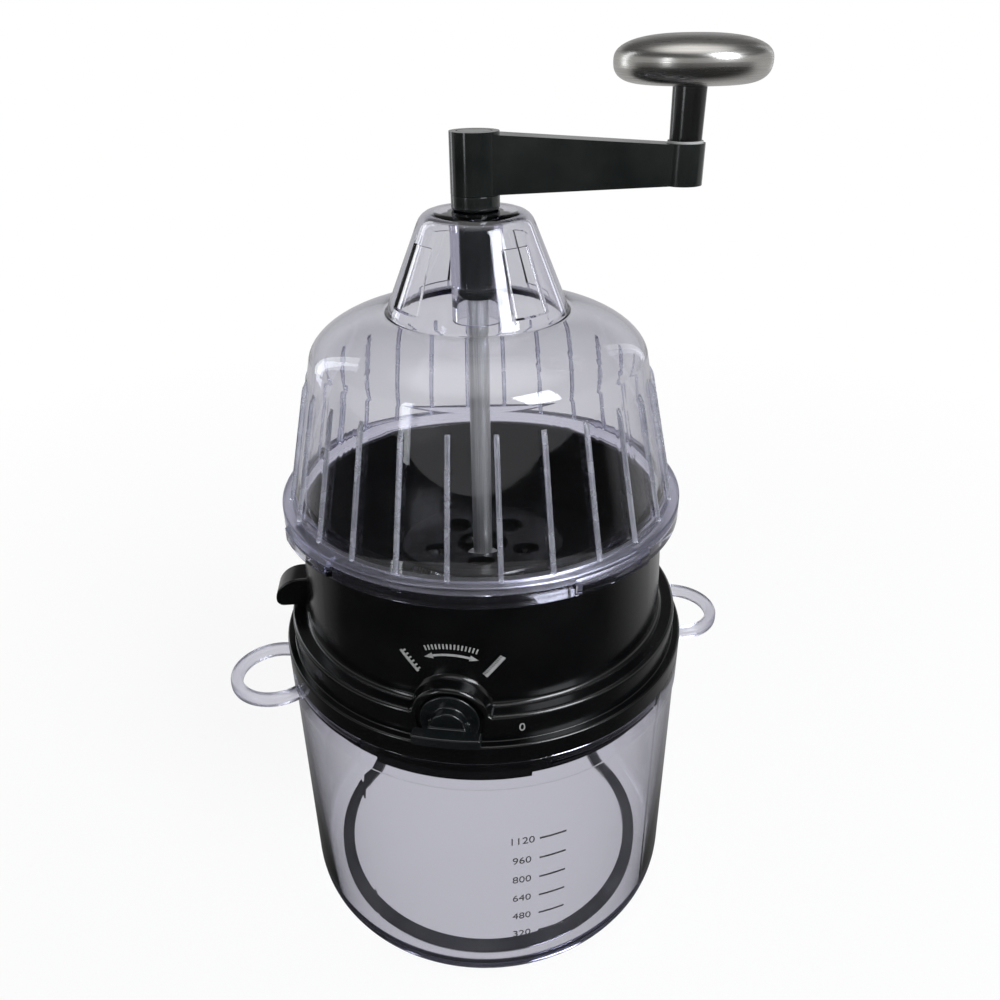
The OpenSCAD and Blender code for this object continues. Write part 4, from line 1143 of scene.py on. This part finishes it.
# Each lamp's name, place, aim, size and power.
LAMPS = (("window", (0.9, -0.7, 1.0), (0, 0, 0.15), (0.55, 0.8), 17.0),
         ("left_tall", (-0.72, -0.95, 0.42), LAMP_AIM, (0.14, 0.6), 1.4),
         ("left_strip", (-1.05, 0.55, 0.55), LAMP_AIM, (0.22, 1.1), 1.8),
         ("right_strip", (0.64, 1.0, 0.5), LAMP_AIM, (0.10, 0.9), 0.25))
CEILING = ((0.0, 0.50), (0.28, 0.48), (0.42, 0.09), (0.80, 0.10), (0.92, 1.2), (1.0, 1.55))


def straight_look(tree):
    """A ray's path, how bright it sees the backdrop, and a 1 if only clear plastic lay in its way."""
    path = tree.nodes.new("ShaderNodeLightPath").outputs
    level = add(tree, "ShaderNodeMapRange", {"Value": path["Is Transmission Ray"], "To Min": 1.0,
                                             "To Max": THROUGH_LEVEL})
    turns = maths(tree, "ADD", path["Glossy Depth"], path["Diffuse Depth"])
    looks = maths(tree, "MAXIMUM", path["Is Camera Ray"], path["Is Transmission Ray"])
    unturned = maths(tree, "LESS_THAN", turns, 0.5)
    straight = maths(tree, "MULTIPLY", looks, unturned)
    return path, level, straight


floor_mesh = bpy.data.meshes.new("floor")
half = FLOOR_SIZE / 2
corners = [(-half, -half, 0), (half, -half, 0), (half, half, 0), (-half, half, 0)]
floor_mesh.from_pydata(corners, [], [(0, 1, 2, 3)])
floor = new_piece("floor", floor_mesh)
pale, tree, shader = new_finish("pale_floor", FLOOR_PALE, 0.9)
shader.inputs["Specular IOR Level"].default_value = 0.0
where = object_place(tree)
fade = spread(tree, length_of(tree, where), *FLOOR_SHARE, *FLOOR_FADE)
path, level, straight = straight_look(tree)
near = maths(tree, "MULTIPLY", straight, fade)
share = maths(tree, "MAXIMUM", near, path["Is Glossy Ray"])
behind = spread(tree, split(tree, where)["Y"], *GLOSS_LEVEL, *GLOSS_BACK)
level = add(tree, "ShaderNodeMix", {"Factor": straight, "A": behind, "B": level})
glow = add(tree, "ShaderNodeEmission", {"Color": (1, 1, 1, 1), "Strength": level})
shown = add(tree, "ShaderNodeMixShader", {0: share, 1: shader.outputs["BSDF"], 2: glow})
tree.links.new(shown, tree.nodes["Material Output"].inputs["Surface"])
floor_mesh.materials.append(pale)

world = bpy.data.worlds.new("studio")
bpy.context.scene.world = world
world.use_nodes = True
tree = world.node_tree
height = split(tree, tree.nodes.new("ShaderNodeTexCoord").outputs["Generated"])["Z"]
ramp = tree.nodes.new("ShaderNodeValToRGB")
while len(ramp.color_ramp.elements) < len(CEILING):
    ramp.color_ramp.elements.new(0.5)
for stop, (at, level) in zip(ramp.color_ramp.elements, CEILING):
    stop.position = at
    stop.color = (level, level, level, 1)
tree.links.new(height, ramp.inputs["Fac"])
path, level, straight = straight_look(tree)
sky = two_tone(tree, straight, ramp.outputs["Color"], level)
tree.links.new(sky, tree.nodes["Background"].inputs["Color"])


def soft_lamp(name, place, aim, size, power):
    """A rectangular soft lamp at a place, turned to a point."""
    lamp = bpy.data.lights.new(name, "AREA")
    lamp.shape = "RECTANGLE"
    lamp.size, lamp.size_y = size
    lamp.energy = power
    lamp.color = WINDOW_TINT
    lit = bpy.data.objects.new(name, lamp)
    facing = (Vector(aim) - Vector(place)).to_track_quat("-Z", "Y")
    lit.matrix_world = Matrix.Translation(place) @ facing.to_matrix().to_4x4()
    bpy.context.scene.collection.objects.link(lit)


for lamp in LAMPS:
    soft_lamp(*lamp)


# Camera. It looks down at the dial from above and a little to the right, with a wide lens from close
# by, so that the knob on top looks large and the container tapers towards its foot.
CAMERA_PLACE = (45.3 * MM, -274.9 * MM, 316.8 * MM)
CAMERA_TILT = 61.42
CAMERA_TURN = 8.0
CAMERA_ROLL = -0.58
CAMERA_LENS = 31.335

view = bpy.data.cameras.new("camera")
view.lens = CAMERA_LENS
view.sensor_width = 36
view.clip_start = 0.01
camera = bpy.data.objects.new("camera", view)
camera.matrix_world = (
    Matrix.Translation(CAMERA_PLACE)
    @ Matrix.Rotation(math.radians(CAMERA_TURN), 4, "Z")
    @ Matrix.Rotation(math.radians(CAMERA_TILT), 4, "X")
    @ Matrix.Rotation(math.radians(CAMERA_ROLL), 4, "Z"))
bpy.context.scene.collection.objects.link(camera)
bpy.context.scene.camera = camera
bpy.context.scene.view_settings.view_transform = "Standard"
